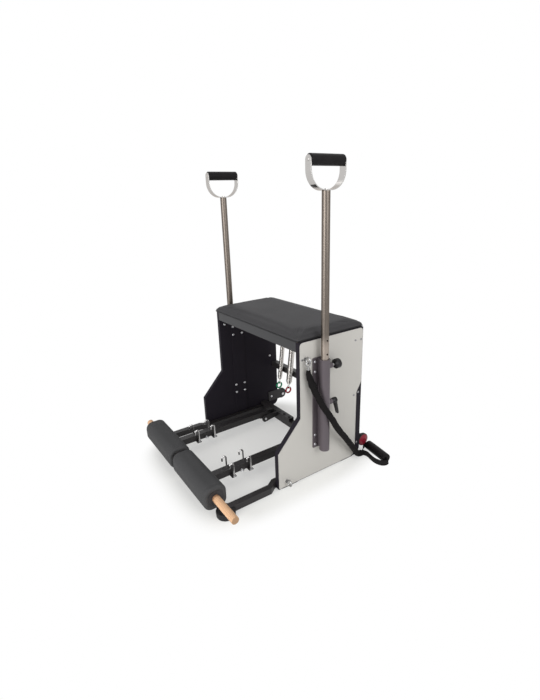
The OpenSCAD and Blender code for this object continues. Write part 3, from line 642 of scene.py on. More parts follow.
@dataclass(frozen=True)
class Woven(Finish):
    """Woven webbing or sheath with its threads crossing."""

    thread: float = 900.0
    depth: float = 0.0004

    def surface(self, graph: Graph) -> Inputs:
        """Adds the threads, with painted shade where they are low and painted highlight where they
        are raised, and lint.

        Args:
            graph: The material's node tree.

        Returns:
            Value or link by socket name.
        """
        ribs = graph.bands(
            {"bands_direction": "Z"},
            {"Vector": graph.place(), "Scale": self.thread / 3.0, "Distortion": 1.5, "Detail": 1.0},
        )
        weft = graph.cells(self.thread)
        lint = graph.between(graph.noise(300.0, 5.0), 0.6, 0.8)
        height = graph.clamp(ribs * 0.5 + weft * 0.8)
        # Painted shade and highlight: the weave is darker where it is low and lighter where it is
        # raised
        base = self.tone(graph, height, 0.6, 1.35)
        return {
            "Base Color": graph.mix(lint * 0.2, base, scaled(self.colour, 2.5)),
            "Roughness": self.rough,
            "Normal": graph.bump(height, self.depth, 0.6),
        }


class Finishes:
    """Every finish of the chair."""

    CORE = PowderCoat("panel_core", (0.0205, 0.0178, 0.0238), 0.5, gloss=0.05)
    SHEET = Laminate("face_sheet", (0.53, 0.515, 0.49), 0.5, gloss=0.3)
    BLACK = PowderCoat("frame_black", (0.022, 0.02, 0.021), 0.42, gloss=0.35)
    DARK = PowderCoat("frame_dark", (0.03, 0.03, 0.033), 0.42, gloss=0.35)
    SLEEVE = PowderCoat("sleeve_paint", (0.105, 0.089, 0.1), 0.38, 0.25, gloss=0.3)
    RUBBER = Moulded("rubber", (0.016, 0.016, 0.017), 0.72, gloss=0.25)
    GRIP = Moulded("grip_rubber", (0.0085, 0.0075, 0.0082), 0.5, gloss=0.1)
    KNOB = Moulded("knob", (0.009, 0.008, 0.009), 0.34, gloss=0.25)
    ENDS = Moulded("end_plastic", (0.028, 0.027, 0.029), 0.55, gloss=0.3)
    ZINC = Plated("zinc", (0.62, 0.62, 0.64), 0.3)
    SCREW = Plated("zinc_screw", (0.34, 0.34, 0.35), 0.34)
    CHROME = Plated("chrome", (0.56, 0.55, 0.55), 0.14)
    EYE = Plated("eye_zinc", (0.4, 0.4, 0.4), 0.3)
    # The tubes carry a painted reflection on their lower stretch, below 0.565 m
    TUBE = BrushedSteel(
        "steel", (0.155, 0.133, 0.115), 0.36, grain=Grain.Z, line=500.0, relief=0.02, pale=0.565
    )
    STRAP = BrushedSteel("strap_steel", (0.54, 0.525, 0.51), 0.12, grain=Grain.Z, relief=0.08)
    SPRING = BrushedSteel("spring_steel", (0.74, 0.72, 0.7), 0.24, relief=0.05)
    SEAT = Vinyl("vinyl", (0.052, 0.051, 0.054), 0.6, gloss=0.12)
    ROLLER = Foam("roller_foam", (0.06, 0.06, 0.062), 0.7, gloss=0.1)
    PIPING = Vinyl("piping", (0.019, 0.019, 0.02), 0.5, gloss=0.15)
    PLYWOOD = TurnedWood("plywood", (0.5, 0.36, 0.22), 0.6)
    GREEN = Moulded("ring_green", (0.008, 0.25, 0.12), 0.16, relief=0.1)
    RED = Moulded("ring_red", (0.34, 0.008, 0.025), 0.16, relief=0.1)
    SHEATH = Woven("sheath", (0.0085, 0.0076, 0.0078), 0.75, gloss=0.08)
    WEBBING = Woven("webbing", (0.012, 0.011, 0.0115), 0.8, gloss=0.1)


def dress(obj: Piece, finish: Finish) -> Piece:
    """Gives a piece one finish and returns it.

    Args:
        obj: The piece.
        finish: Its finish.

    Returns:
        The same piece.
    """
    obj.data.materials.clear()
    obj.data.materials.append(finish.make())
    return obj


def add_mesh(name: str, points: Points, faces: list[tuple[int, ...]]) -> Piece:
    """Makes an object of points and faces.

    Args:
        name: Name of the piece.
        points: Its points in metres.
        faces: Its faces.

    Returns:
        The new object, shaded smooth.
    """
    mesh = bpy.data.meshes.new(name)
    mesh.from_pydata([tuple(p) for p in points], [], faces)
    mesh.validate()
    made = bmesh.new()
    made.from_mesh(mesh)
    bmesh.ops.recalc_face_normals(made, faces=made.faces)
    made.to_mesh(mesh)
    made.free()
    mesh.shade_smooth()
    obj = bpy.data.objects.new(name, mesh)
    bpy.context.scene.collection.objects.link(obj)
    return obj


def loft(name: str, rings: list[Points], closed: bool = False) -> Piece:
    """Skins a row of rings and caps its ends.

    Args:
        name: Name of the piece.
        rings: Rings of equally many points.
        closed: Whether the last ring joins the first one instead of being capped.

    Returns:
        The new object.
    """
    count = len(rings[0])
    points = [p for ring in rings for p in ring]
    last = len(rings) if closed else len(rings) - 1
    faces = [
        (
            i * count + k,
            i * count + (k + 1) % count,
            (i + 1) % len(rings) * count + (k + 1) % count,
            (i + 1) % len(rings) * count + k,
        )
        for i in range(last)
        for k in range(count)
    ]
    if not closed:
        for i in (0, len(rings) - 1):
            centre = sum(rings[i], Vector()) / count
            points.append(centre)
            hub = len(points) - 1
            faces += [(i * count + k, i * count + (k + 1) % count, hub) for k in range(count)]
    return add_mesh(name, points, faces)


def transport(path: Points, start: Vector) -> list[tuple[Vector, Vector, Vector]]:
    """Frames carried along a path without twist.

    Args:
        path: Points of the path.
        start: A direction across the path's first stretch.

    Returns:
        Tangent, normal and binormal at each point.
    """
    frames = []
    normal = start
    for i in range(len(path)):
        ahead = path[min(i + 1, len(path) - 1)]
        behind = path[max(i - 1, 0)]
        tangent = (ahead - behind).normalized()
        normal = (normal - tangent * normal.dot(tangent)).normalized()
        frames.append((tangent, normal, tangent.cross(normal)))
    return frames


def sweep(name: str, path: Points, section: Outline, start: Vector) -> Piece:
    """Sweeps a section along a path.

    Args:
        name: Name of the piece.
        path: Points of the path.
        section: Outline across the path, in metres along normal and binormal.
        start: A direction across the path's first stretch.

    Returns:
        The new object.
    """
    frames = zip(path, transport(path, start))
    return loft(name, [[p + n * a + b * c for a, c in section] for p, (_, n, b) in frames])


def arc(steps: int, first: float, span: float) -> list[float]:
    """Angles in radians along an arc that is given in degrees."""
    return [radians(first + span * k / steps) for k in range(steps + 1)]


def circle(radius: float, sides: int) -> Outline:
    """Outline of a round section."""
    return [(radius * cos(a), radius * sin(a)) for a in arc(sides, 0.0, 360.0)[:-1]]


def catmull(points: Points, steps: int) -> Points:
    """Smooth curve through points.

    Args:
        points: What the curve passes through.
        steps: Points made for each stretch.

    Returns:
        The curve's points.
    """
    last = len(points) - 1
    made = []
    for i in range(last):
        a, b = points[max(i - 1, 0)], points[i]
        c, d = points[i + 1], points[min(i + 2, last)]
        for k in range(steps):
            t = k / steps
            made.append(
                0.5 * (2 * b + (c - a) * t + (2 * a - 5 * b + 4 * c - d) * t * t
                       + (3 * b - a - 3 * c + d) * t ** 3)
            )
    return [*made, points[last].copy()]


def round_corner(
    half_a: float, half_b: float, radius: float, steps: int, extra: tuple[int, int]
) -> Outline:
    """Outline of a rounded rectangle.

    Args:
        half_a: Half its first side.
        half_b: Half its second side.
        radius: Corner radius.
        steps: Points per corner.
        extra: Points added along each first and each second side.

    Returns:
        The outline.
    """
    bends = [
        [
            (
                sign_a * (half_a - radius) + radius * cos(a),
                sign_b * (half_b - radius) + radius * sin(a),
            )
            for a in arc(steps, first, 90.0)
        ]
        for sign_a, sign_b, first in ((1, 1, 0.0), (-1, 1, 90.0), (-1, -1, 180.0), (1, -1, 270.0))
    ]
    outline = []
    for number, bend in enumerate(bends):
        (pa, pb), (qa, qb) = bend[-1], bends[(number + 1) % 4][0]
        gaps = extra[number % 2] + 1
        shares = [j / gaps for j in range(1, gaps)]
        outline += [*bend, *((pa + (qa - pa) * t, pb + (qb - pb) * t) for t in shares)]
    return outline


def ride(obj: Piece, body: str, slot: str, *nodes: str) -> Piece:
    """Puts a piece on its body and hides the nodes it stands for.

    Args:
        obj: The piece.
        body: The body it moves with.
        slot: The record's material slot; not used.
        nodes: CAD nodes it replaces.

    Returns:
        The piece.
    """
    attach(obj, body)
    if nodes:
        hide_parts(*nodes)
    LOG.info("made %s on %s", obj.name, body)
    return obj


def subdivide(obj: Piece) -> None:
    """Subdivides a piece once.

    Args:
        obj: The piece.
    """
    modifier = obj.modifiers.new("soften", "SUBSURF")
    modifier.levels = modifier.render_levels = 1
    apply_modifiers(obj)


def apply_modifiers(obj: Piece) -> None:
    """Turns a piece's modifiers into its mesh.

    Args:
        obj: The piece.
    """
    graph = bpy.context.evaluated_depsgraph_get()
    made = bpy.data.meshes.new_from_object(obj.evaluated_get(graph))
    materials = list(obj.data.materials)
    obj.modifiers.clear()
    obj.data = made
    obj.data.materials.clear()
    for material in materials:
        obj.data.materials.append(material)
    obj.data.shade_smooth()


@dataclass
class Studio:
    """Camera, floor, surroundings and lamps."""

    eye: Triple = (1.38, -0.8473, 1.0366)
    yaw: float = 0.9989
    pitch: float = -0.3201
    roll: float = -0.0423
    lens: float = 21.633
    sensor: float = 36.0
    shift: Span = (0.0114, -0.0107)
    reach: float = 100.0
    floor_half: float = 14.0
    floor_colour: Colour = (0.93, 0.93, 0.89)
    shade: Span = (0.36, 0.42)
    fade: Span = (0.9, 1.14)
    least_white: float = 0.4
    ambient: float = 0.42
    aim: Triple = (0.0, 0.1, 0.45)
    lamps: tuple[tuple[str, Triple, float, float], ...] = (
        ("key", (0.7, -2.5, 1.0), 1.6, 42.0),
        ("fill", (2.8, 0.3, 1.6), 1.8, 34.0),
        ("top", (-0.4, 0.3, 3.0), 2.2, 9.0),
    )

    def camera(self) -> None:
        """Places the camera where the photograph was taken from."""
        forward = Vector(
            (
                -sin(self.yaw) * cos(self.pitch),
                cos(self.yaw) * cos(self.pitch),
                sin(self.pitch),
            )
        )
        level = Vector((cos(self.yaw), sin(self.yaw), 0.0))
        upright = level.cross(forward)
        right = level * cos(self.roll) + upright * sin(self.roll)
        up = upright * cos(self.roll) - level * sin(self.roll)
        data = bpy.data.cameras.new("camera")
        data.lens = self.lens
        data.sensor_width = self.sensor
        data.shift_x, data.shift_y = self.shift
        data.clip_end = self.reach
        camera = bpy.data.objects.new("camera", data)
        rows = Matrix((right, up, -forward)).transposed()
        camera.matrix_world = Matrix.Translation(Vector(self.eye)) @ rows.to_4x4()
        bpy.context.scene.collection.objects.link(camera)
        bpy.context.scene.camera = camera

    def floor(self) -> None:
        """Lays a pale floor that fades towards white just outside the chair's outline."""
        signs = ((-1, -1), (1, -1), (1, 1), (-1, 1))
        corners = [Vector((x, y, 0.0)) * self.floor_half for x, y in signs]
        obj = add_mesh("floor", corners, [(0, 1, 2, 3)])
        material, graph = empty_material("floor")
        x, y, _ = graph.axes()
        out = ((x / self.shade[0]) ** 4.0 + (y / self.shade[1]) ** 4.0) ** 0.25
        far = graph.between(out, *self.fade) * (1.0 - self.least_white) + self.least_white
        paint = {"Base Color": (*self.floor_colour, 1.0), "Roughness": 0.9}
        matt = graph.node("BsdfPrincipled", {}, paint)
        white = graph.node("Emission", {}, {"Color": (1, 1, 1, 1), "Strength": 1.0})
        both = graph.node("MixShader", {}, {0: far * graph.shown(), 1: matt, 2: white})
        graph.node("OutputMaterial", {}, {"Surface": both})
        obj.data.materials.append(material)

    def world(self) -> None:
        """White surroundings for the camera and a plain level of light for the rest."""
        world = bpy.data.worlds.new("studio")
        bpy.context.scene.world = world
        world.use_nodes = True
        graph = Graph(world.node_tree)
        seen = graph.shown()
        level = seen + (1.0 - seen) * self.ambient
        back = graph.node("Background", {}, {"Color": (1, 1, 1, 1), "Strength": level})
        graph.node("OutputWorld", {}, {"Surface": back})

    def lamp(self, name: str, spot: Triple, size: float, watts: float) -> None:
        """Adds a square soft box that faces the chair.

        Args:
            name: Name of the lamp.
            spot: Its place.
            size: Its side.
            watts: Its power.
        """
        data = bpy.data.lights.new(name, "AREA")
        data.shape = "SQUARE"
        data.size = size
        data.energy = watts
        lamp = bpy.data.objects.new(name, data)
        lamp.location = spot
        aim = Vector(self.aim) - Vector(spot)
        lamp.rotation_euler = aim.to_track_quat("-Z", "Y").to_euler()
        bpy.context.scene.collection.objects.link(lamp)

    def build(self) -> None:
        """Makes the whole studio."""
        self.camera()
        self.floor()
        self.world()
        for lamp in self.lamps:
            self.lamp(*lamp)
        bpy.context.scene.view_settings.view_transform = "Standard"
        LOG.info("made the studio")


@dataclass
class Band:
    """Resistance band: ruched sheath, webbing, grip and clip."""

    radius: float = 0.011
    route: tuple[Triple, ...] = (
        (328, -133, 465), (328, -132, 449), (328, -124, 424), (334, -116, 396),
        (346, -108, 364), (362, -98, 330), (374, -82, 298), (378, -62, 265),
        (374, -38, 228), (366, -10, 191), (356, 30, 144), (346, 68, 96),
        (338, 98, 58), (332, 119, 31), (330, 129, 20.8), (329, 140, 14.6),
        (328, 151, 12.4), (328, 159, 12.4),
    )
    steps: int = 16
    sides: int = 28
    bulges: tuple[tuple[int, int, float], ...] = ((44, 5, 0.22), (58, 4, 0.12))
    grip_far: Triple = (307.0, 216.0, 19.4)
    grip_near: Triple = (428.0, 196.0, 19.4)
    grip_radius: float = 0.019
    grip_edge: float = 0.004
    webbing_half: float = 0.0118
    webbing_thin: float = 0.0014
    webbing_near: tuple[Triple, ...] = (
        (328, 157, 12), (336, 163, 12.5), (352, 166, 12.5), (376, 160, 12.5), (402, 156, 12.5),
        (426, 162, 12.5), (438, 176, 12.5), (440, 189, 14), (436, 194.6, 15), (428.5, 196, 15),
    )
    webbing_far: tuple[Triple, ...] = (
        (328, 159.6, 11.5), (324, 167, 11.5), (311, 182, 11.5), (299, 196, 11.5),
        (294, 209, 11.5), (295.5, 216.6, 12.5), (306.5, 216.2, 13),
    )

    def sheath(self) -> Piece:
        """Gathers the woven sheath along the band's fall.

        Returns:
            The sheath.
        """
        path = catmull([place(*p) for p in self.route], self.steps)
        rings = []
        for i, (p, (_, n, b)) in enumerate(zip(path, transport(path, ACROSS))):
            ends = min(1.07, 0.62 + 0.45 * i / 30, 0.85 + 0.22 * (len(path) - 1 - i) / 10)
            for at, spread, size in self.bulges:
                ends += size * exp(-(((i - at) / spread) ** 2))
            ring = []
            for c, q in circle(1.0, self.sides):
                fold = noise.noise(Vector((i * 0.55, c * 0.7, q * 0.7)))
                pucker = sin(i * 1.9 + 1.3 * q) * 0.05
                r = self.radius * ends * (1.0 + 0.12 * fold + pucker)
                ring.append(p + n * r * c + b * r * q)
            rings.append(ring)
        self.length = sum((q - p).length for p, q in zip(path, path[1:]))
        self.path = path
        return dress(loft("band_sheath", rings), Finishes.SHEATH)

    def foam_grip(self) -> Piece:
        """Turns the foam grip that lies on the floor.

        Returns:
            The grip.
        """
        low, high = place(*self.grip_far), place(*self.grip_near)
        length, edge, radius = (high - low).length, self.grip_edge, self.grip_radius
        rim = [(edge * (1 - cos(a)), radius - edge * (1 - sin(a))) for a in arc(5, 0.0, 90.0)]
        swell = [(t, 1 + 0.02 * sin(pi * t)) for t in (0.2, 0.4, 0.6, 0.8)]
        middle = [(length * t, radius * r) for t, r in swell]
        stations = [*rim, *middle, *((length - d, r) for d, r in reversed(rim))]
        along = (high - low).normalized()
        across = along.cross(UP)
        rings = [
            [low + along * d + UP * a + across * b for a, b in circle(r, 32)] for d, r in stations
        ]
        return dress(loft("band_foam_grip", rings), Finishes.GRIP)

    def strap(self, name: str, points: tuple[Triple, ...]) -> Piece:
        """Runs flat webbing on its edge through points on the floor.

        Args:
            name: Name of the piece.
            points: Places in millimetres about the middle of the seat.

        Returns:
            The strap.
        """
        path = catmull([place(*p) for p in points], 8)
        half, thin = self.webbing_half, self.webbing_thin
        section = [(-half, -thin), (half, -thin), (half, thin), (-half, thin)]
        return dress(sweep(name, path, section, UP), Finishes.WEBBING)

    def build(self) -> None:
        sheath = ride(self.sheath(), "frame", "sheath", "band_tube")
        grip = ride(self.foam_grip(), "frame", "grip_rubber", "band_grip")
        near = self.strap("band_strap_near", self.webbing_near)
        far = self.strap("band_strap_far", self.webbing_far)
        ride(near, "frame", "webbing", "band_webbing")
        ride(far, "frame", "webbing")


@dataclass
class Seat:
    """Upholstered seat: a cloth simulation swells it over its board."""

    outset: float = 0.0026
    corner: float = 0.024
    foot_corner: float = 0.012
    crown_from: float = 12.0
    voxel: float = 0.0045
    held: float = 0.012
    pressure: float = 3.0
    cap: float = 0.004
    frames: int = 20
    welt: float = 0.0014
    welt_height: float = 0.0035

    def __post_init__(self) -> None:
        """Takes the cushion's box and the board's underside from the CAD."""
        self.low, self.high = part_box("seat_cushion")
        self.centre = (self.low + self.high) / 2
        self.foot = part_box("seat_board")[0].z

    def outline(self, inset: float, corner: float) -> Outline:
        """Outline of the cover.

        Args:
            inset: How far it is drawn in, in metres.
            corner: Radius of its corners in metres.

        Returns:
            Its points.
        """
        half_x, half_y = (self.high.x - self.low.x) / 2, (self.high.y - self.low.y) / 2
        grown = self.outset - inset
        return round_corner(half_x + grown, half_y + grown, corner, 8, (40, 20))

    def blank(self) -> Piece:
        """Makes the shape that is swollen, from the foot up.

        Returns:
            The blank.
        """
        wrap = (self.low.z - self.foot) / MM
        steps = (
            (3.0, 0.6 - wrap), (0.0, 3.0 - wrap), (0.0, 10.0), (1.2, 16.0), (4.5, 21.0),
            (10.0, 24.5), (22.0, 27.0), (60.0, 28.5),
        )
        rings = []
        for inset, z in steps:
            corner = self.corner if z > self.crown_from else self.foot_corner
            level = Vector((self.centre.x, self.centre.y, self.low.z + z * MM))
            rings.append([level + Vector((x, y, 0.0)) for x, y in self.outline(inset * MM, corner)])
        return loft("seat_upholstery", rings)

    def swell(self, obj: Piece) -> None:
        """Blows the cover up a little with cloth and applies it.

        Args:
            obj: The blank, which becomes the cushion.
        """
        remesh = obj.modifiers.new("remesh", "REMESH")
        remesh.mode = "VOXEL"
        remesh.voxel_size = self.voxel
        even = obj.modifiers.new("even", "SMOOTH")
        even.factor = 0.5
        even.iterations = 6
        apply_modifiers(obj)
        rest = [v.co.copy() for v in obj.data.vertices]
        pinned = obj.vertex_groups.new(name="pinned")
        foot = [i for i, co in enumerate(rest) if co.z < self.low.z + self.held]
        pinned.add(foot, 1.0, "REPLACE")
        cloth = obj.modifiers.new("cloth", "CLOTH").settings
        cloth.use_pressure = True
        cloth.uniform_pressure_force = self.pressure
        cloth.effector_weights.gravity = 0.0
        cloth.vertex_group_mass = pinned.name
        cloth.tension_stiffness = 30.0
        cloth.quality = 6
        scene = bpy.context.scene
        for frame_number in range(1, self.frames + 1):
            scene.frame_set(frame_number)
        apply_modifiers(obj)
        scene.frame_set(1)
        for v, start in zip(obj.data.vertices, rest):
            moved = v.co - start
            if moved.length > self.cap:
                v.co = start + moved * (self.cap / moved.length)

    def seam(self) -> Piece:
        """Runs a thin welt round the lower edge of the cover.

        Returns:
            The welt.
        """
        level = Vector((self.centre.x, self.centre.y, self.foot + self.welt_height))
        path = [level + Vector((x, y, 0.0)) for x, y in self.outline(0.0, self.foot_corner)]
        rings = []
        for i, p in enumerate(path):
            tangent = (path[(i + 1) % len(path)] - path[i - 1]).normalized()
            out = tangent.cross(UP)
            rings.append([p + out * a + Vector((0, 0, c)) for a, c in circle(self.welt, 10)])
        return dress(loft("seat_welt", rings, True), Finishes.PIPING)

    def build(self) -> None:
        """Makes the cushion."""
        cushion = self.blank()
        self.swell(cushion)
        subdivide(cushion)
        ride(dress(cushion, Finishes.SEAT), "frame", "vinyl", "seat_cushion")
        ride(self.seam(), "frame", "vinyl")


@dataclass
class Roller:
    """Foam roller of one pedal."""

    side: Side
    edge: float = 0.030
    least_edge: float = 0.004
    end: float = 0.009
    mouth: tuple[Span, ...] = ((0.0018, 0.016), (0.0, 0.011), (0.0, 0.010))
    seam: float = 0.015
    seam_half: float = 0.001
    groove: float = 0.0007

    def ring(self, x: float, inset: float) -> Points:
        """One rounded square across the roller.

        Args:
            x: Place across the chair in metres.
            inset: How far it is drawn in, in metres.

        Returns:
            The ring's points.
        """
        half = (self.high.y - self.low.y) / 2 - inset
        outline = round_corner(half, half, max(self.edge - inset, self.least_edge), 10, (3, 3))
        return [Vector((x, self.centre.y + a, self.centre.z + b)) for a, b in outline]

    def build(self) -> None:
        """Makes the roller with its turned-in ends and the seams beside them."""
        node = f"{self.side.word}_pad"
        self.low, self.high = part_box(node)
        self.centre = (self.low + self.high) / 2
        turned = [
            (self.end * (1 - cos(a)), self.end * (1 - sin(a))) for a in arc(6, 0.0, 90.0)
        ]
        seam = [
            (self.seam - self.seam_half, 0.0),
            (self.seam, self.groove),
            (self.seam + self.seam_half, 0.0),
        ]
        start = [*self.mouth, *turned, *seam]
        length = self.high.x - self.low.x
        body = [(length * t, 0.0) for t in (0.15, 0.3, 0.45, 0.5, 0.55, 0.7, 0.85)]
        stations = start + body + [(length - d, i) for d, i in reversed(start)]
        rings = [self.ring(self.low.x + d, i) for d, i in stations]
        obj = dress(loft(f"{self.side.word}_roller", rings), Finishes.ROLLER)
        ride(obj, f"{self.side.word}_pedal", "vinyl", node)


class Strength(Enum):
    """The two kinds of spring: coil diameter, wire and ring finish."""

    OUTER = (0.022, 0.003, "ring_green")
    INNER = (0.029, 0.0032, "ring_red")


@dataclass
class Spring:
    """Close-wound spring with a loop at each end and its coloured ring."""

    side: Side
    strength: Strength
    lean: float = atan2(47.0, 350.0)
    loop: float = 0.007
    eye: float = 0.003
    foot_loop: float = 0.0075
    coil_from: float = 0.018
    coil_to: float = 0.304
    ring_depth: float = hypot(47.0, 350.0) * MM
    ring_radius: float = 0.014
    ring_wire: float = 0.004
    play: float = 0.0003
    pitch: float = 1.07
    throat: float = 0.002
    cone_turns: float = 6.5
    segments: int = 14
    sides: int = 8

    def spiral(
        self, depths: Span, first: float, turns: float, steps: int, radius: Callable[[float], float]
    ) -> Points:
        """Winds the wire down round the spring's axis.

        Args:
            depths: Depth of its first and its last point.
            first: Angle of its first point in degrees.
            turns: Number of turns.
            steps: Number of stretches.
            radius: Distance from the axis for each share of the way.

        Returns:
            The points.
        """
        made = []
        for k, a in enumerate(arc(steps, first, 360.0 * turns)):
            share = k / steps
            r, depth = radius(share), depths[0] + (depths[1] - depths[0]) * share
            made.append(Vector((r * cos(a), r * sin(a), -depth)))
        return made

    def wire_path(self) -> Points:
        """Line of the wire, straight down from the pivot.

        Returns:
            Its points.
        """
        outer, wire, _ = self.strength.value
        coil = (outer - wire) / 2
        foot = self.ring_depth - self.ring_radius + wire / 2 + self.ring_wire + self.play
        middle = foot - self.foot_loop
        turns = int((self.coil_to - self.coil_from) / (wire * self.pitch))
        neck = (self.eye + self.loop + wire, self.coil_from)
        body = (self.coil_from, self.coil_to)
        cone = (self.coil_to, middle - self.foot_loop - self.throat)
        cone_steps = int(self.segments * self.cone_turns)
        return [
            *(
                Vector((0.0, self.loop * sin(a), self.loop * cos(a) - self.eye))
                for a in arc(16, -130.0, 310.0)
            ),
            *self.spiral(neck, -90.0, 0.75, self.segments * 3 // 4, lambda t: coil * t)[1:-1],
            *self.spiral(body, 180.0, turns, turns * self.segments, lambda t: coil),
            *self.spiral(
                cone, 180.0, self.cone_turns, cone_steps, lambda t: coil * (1 - t ** 2.2)
            )[1:-1],
            *(
                Vector((-self.foot_loop * sin(a), 0.0, -middle - self.foot_loop * cos(a)))
                for a in arc(16, 180.0, 310.0)
            ),
        ]

    def build(self) -> None:
        """Makes the spring and dresses its ring."""
        _, wire, finish = self.strength.value
        name = f"{self.side.word}_{self.strength.name.lower()}"
        joint = next(j for j in frame["joints"] if j["name"] == f"{name}_spring_swing")
        turn = Matrix.Rotation(-self.lean, 4, "X")
        pivot = Vector(joint["pos_m"])
        path = [pivot + turn @ p for p in self.wire_path()]
        obj = sweep(f"{name}_coil", path, circle(wire / 2, self.sides), ACROSS)
        dress(obj, Finishes.SPRING)
        ride(obj, f"{name}_spring", "spring_steel", f"{name}_spring")
        colour = Finishes.GREEN if finish == "ring_green" else Finishes.RED
        dress(frame["nodes"][f"{name}_ring"], colour)


@dataclass
class Rigid:
    """Rigid pieces whose solid is right and that only need their finish."""

    dressed: tuple[tuple[Finish, str], ...] = (
        (Finishes.CORE, "right_panel left_panel backing_plates"),
        (Finishes.SHEET, "face_sheets"),
        (Finishes.DARK, "front_top_rail rear_top_rail"),
        (Finishes.BLACK, "mid_cross_bar rear_floor_bar base_frame pivot_brackets"),
        (Finishes.BLACK, "wheel_brackets right_arm left_arm"),
        (Finishes.RUBBER, "front_feet floor_pads pedal_rests"),
        (Finishes.ZINC, "pivot_pins sleeve_bolts wheel_axles spring_eyes"),
        (Finishes.SLEEVE, "right_sleeve left_sleeve"),
        (Finishes.SCREW, "panel_screws"),
        (Finishes.EYE, "eye_bolts band_clip"),
        (Finishes.PLYWOOD, "seat_board"),
        (Finishes.ENDS, "right_pad_ends left_pad_ends"),
        (Finishes.TUBE, "right_tube left_tube"),
        (Finishes.STRAP, "right_strap left_strap"),
        (Finishes.GRIP, "right_grip left_grip"),
        (Finishes.KNOB, "right_plunger_knob left_plunger_knob"),
        (Finishes.KNOB, "right_clamp_lever left_clamp_lever"),
        (Finishes.CHROME, "right_plunger_pin left_plunger_pin"),
    )
    dome_height: float = 0.0046

    def wheel(self) -> Finish:
        """Finish of both wheels, about the right one's axle.

        Returns:
            The finish.
        """
        low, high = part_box("right_wheel")
        axle = ((low.y + high.y) / 2, (low.z + high.z) / 2)
        face = high.x - SHIFT.x - self.dome_height
        red = ("wheel_red", (0.22, 0.01, 0.024), 0.3)
        return WheelFinish(*red, gloss=0.3, axle=axle, centre=SHIFT.x, face=face)

    def dowel(self) -> Finish:
        """Finish of the dowel, dark at its own ends, with painted shade at the rollers' mouths.

        Returns:
            The finish.
        """
        low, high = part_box("dowel")
        # Places of the rollers' mouths, where the dowel gets its painted shade
        mouths = (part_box("left_pad")[0].x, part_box("right_pad")[1].x)
        wood = ("wood", (0.76, 0.47, 0.28), 0.5)
        return TurnedWood(*wood, gloss=0.2, ends=(low.x, high.x), mouths=mouths)

    def build(self) -> None:
        """Dresses every rigid node."""
        fitted = ((self.wheel(), "right_wheel left_wheel"), (self.dowel(), "dowel"))
        for finish, names in (*self.dressed, *fitted):
            for name in names.split():
                dress(frame["nodes"][name], finish)
                LOG.info("dressed %s", name)


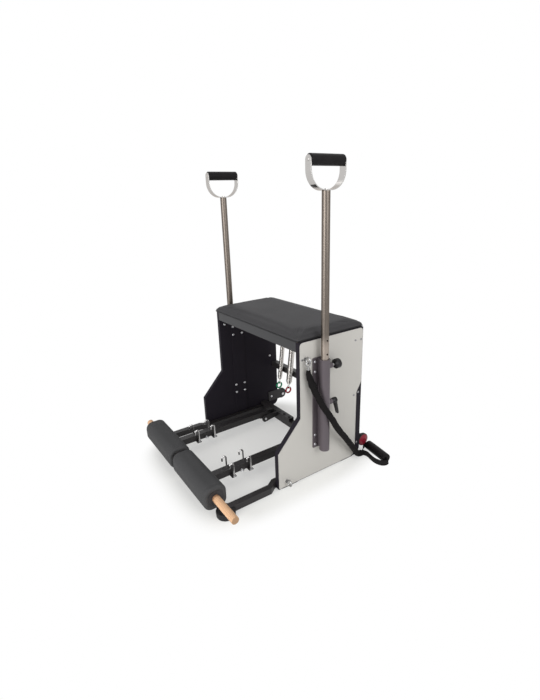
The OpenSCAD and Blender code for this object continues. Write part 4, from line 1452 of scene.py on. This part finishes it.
@dataclass
class Hooks:
    """Spring hooks and band eyes of one pedal, bent from thick wire."""

    side: Side
    rows: Span = (-384.0, -307.0)
    eye_row: float = -345.0
    middle: float = 153.5
    spread: float = 30.0
    crook: float = 8.75
    wire: float = 3.4
    tail: float = 9.0
    nut_profile: tuple[Span, ...] = ((0.0, 5.6), (0.4, 6.2), (3.0, 6.2), (3.4, 5.6))
    eye: float = 7.0
    eye_wire: float = 1.9
    eye_lift: float = 7.0
    eye_reach: float = 24.0

    def cane(self, name: str, x: float, y: float) -> Piece:
        """Bends one hook.

        Args:
            name: Name of the piece.
            x: Its place across the chair in millimetres.
            y: Its place along the arm in millimetres.

        Returns:
            The hook.
        """
        top = self.high - self.crook - self.wire
        path = [place(x, y, self.low + (top - self.low) * k / 4) for k in range(5)]
        path += [
            place(x, y - self.crook * (1 - cos(a)), top + self.crook * sin(a))
            for a in arc(16, 0.0, 180.0)[1:]
        ]
        path += [place(x, y - 2 * self.crook, top - self.tail * k / 3) for k in range(1, 4)]
        section = circle(self.wire * MM, 14)
        return dress(sweep(name, path, section, ACROSS), Finishes.CHROME)

    def nut(self, name: str, x: float, y: float) -> Piece:
        """Turns the six-sided nut at a hook's foot.

        Args:
            name: Name of the piece.
            x: Its place across the chair in millimetres.
            y: Its place along the arm in millimetres.

        Returns:
            The nut, with flat faces.
        """
        foot = place(x, y, self.low)
        rings = [
            [foot + Vector((a, b, z * MM)) for a, b in circle(r * MM, 6)]
            for z, r in self.nut_profile
        ]
        obj = dress(loft(name, rings), Finishes.ZINC)
        obj.data.shade_flat()
        return obj

    def loop(self, name: str, x: float) -> Piece:
        """Bends one flat eye beside the arm.

        Args:
            name: Name of the piece.
            x: Its place across the chair in millimetres.

        Returns:
            The eye.
        """
        middle = place(x, self.eye_row, self.low + self.eye_lift)
        section = circle(self.eye_wire * MM, 12)
        rings = [
            [middle + Vector((c, q, 0.0)) * (self.eye * MM + a) + Vector((0, 0, b))
             for a, b in section]
            for c, q in circle(1.0, 32)
        ]
        return dress(loft(name, rings, True), Finishes.ZINC)

    def build(self) -> None:
        """Makes the pedal's hooks, nuts and eyes."""
        word, sign = self.side.word, self.side.value
        body, node = f"{word}_pedal", f"{word}_hooks"
        low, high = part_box(node)
        self.low, self.high = low.z / MM, high.z / MM
        spots = [(sign * (self.middle + s * self.spread), y) for y in self.rows for s in (-1, 1)]
        for number, (x, y) in enumerate(spots):
            hook = self.cane(f"{word}_hook_{number}", x, y)
            ride(hook, body, "chrome", *([] if number else [node]))
            ride(self.nut(f"{word}_hook_nut_{number}", x, y), body, "zinc")
        for number, s in enumerate((-1, 1)):
            x = sign * (self.middle + s * self.eye_reach)
            ride(self.loop(f"{word}_eye_{number}", x), body, "chrome")


@dataclass
class InnerNuts:
    """Nuts that show on the inner face of one panel."""

    side: Side
    flange_rows: tuple[float, ...] = (482.0, 443.0, 181.0, 141.0)
    flange_columns: Span = (-91.0, -43.0)
    plate: float = 287.0
    single: tuple[Triple, ...] = ((290, -133, 501), (290, 117, 286), (285, 116, 56))
    profile: tuple[Span, ...] = ((0.0, 1.0), (0.35, 1.0), (0.62, 0.86), (0.86, 0.55), (1.0, 0.2))
    radius: float = 5.8
    height: float = 4.2
    sides: int = 20

    def nut(self, number: int, spot: Triple) -> Piece:
        """Turns one domed nut.

        Args:
            number: Number of the nut on its side.
            spot: Its place on the right-hand panel.

        Returns:
            The nut.
        """
        x, y, z = spot
        rings = [
            [place(self.side.value * (x - self.height * d), y + a, z + b)
             for a, b in circle(self.radius * r, self.sides)]
            for d, r in self.profile
        ]
        return dress(loft(f"{self.side.word}_nut_{number}", rings), Finishes.ZINC)

    def build(self) -> None:
        """Makes the nuts of one panel."""
        flange = [(self.plate, y, z) for y in self.flange_columns for z in self.flange_rows]
        for number, spot in enumerate((*flange, *self.single)):
            ride(self.nut(number, spot), "frame", "zinc")


def main() -> None:
    """Builds the scene."""
    logging.basicConfig(level=logging.INFO, format="%(name)s: %(message)s")
    Studio().build()
    Band().build()
    Rigid().build()
    Seat().build()
    for side in Side:
        InnerNuts(side).build()
        Hooks(side).build()
        Roller(side).build()
        for strength in Strength:
            Spring(side, strength).build()


if __name__ == "__main__":
    main()
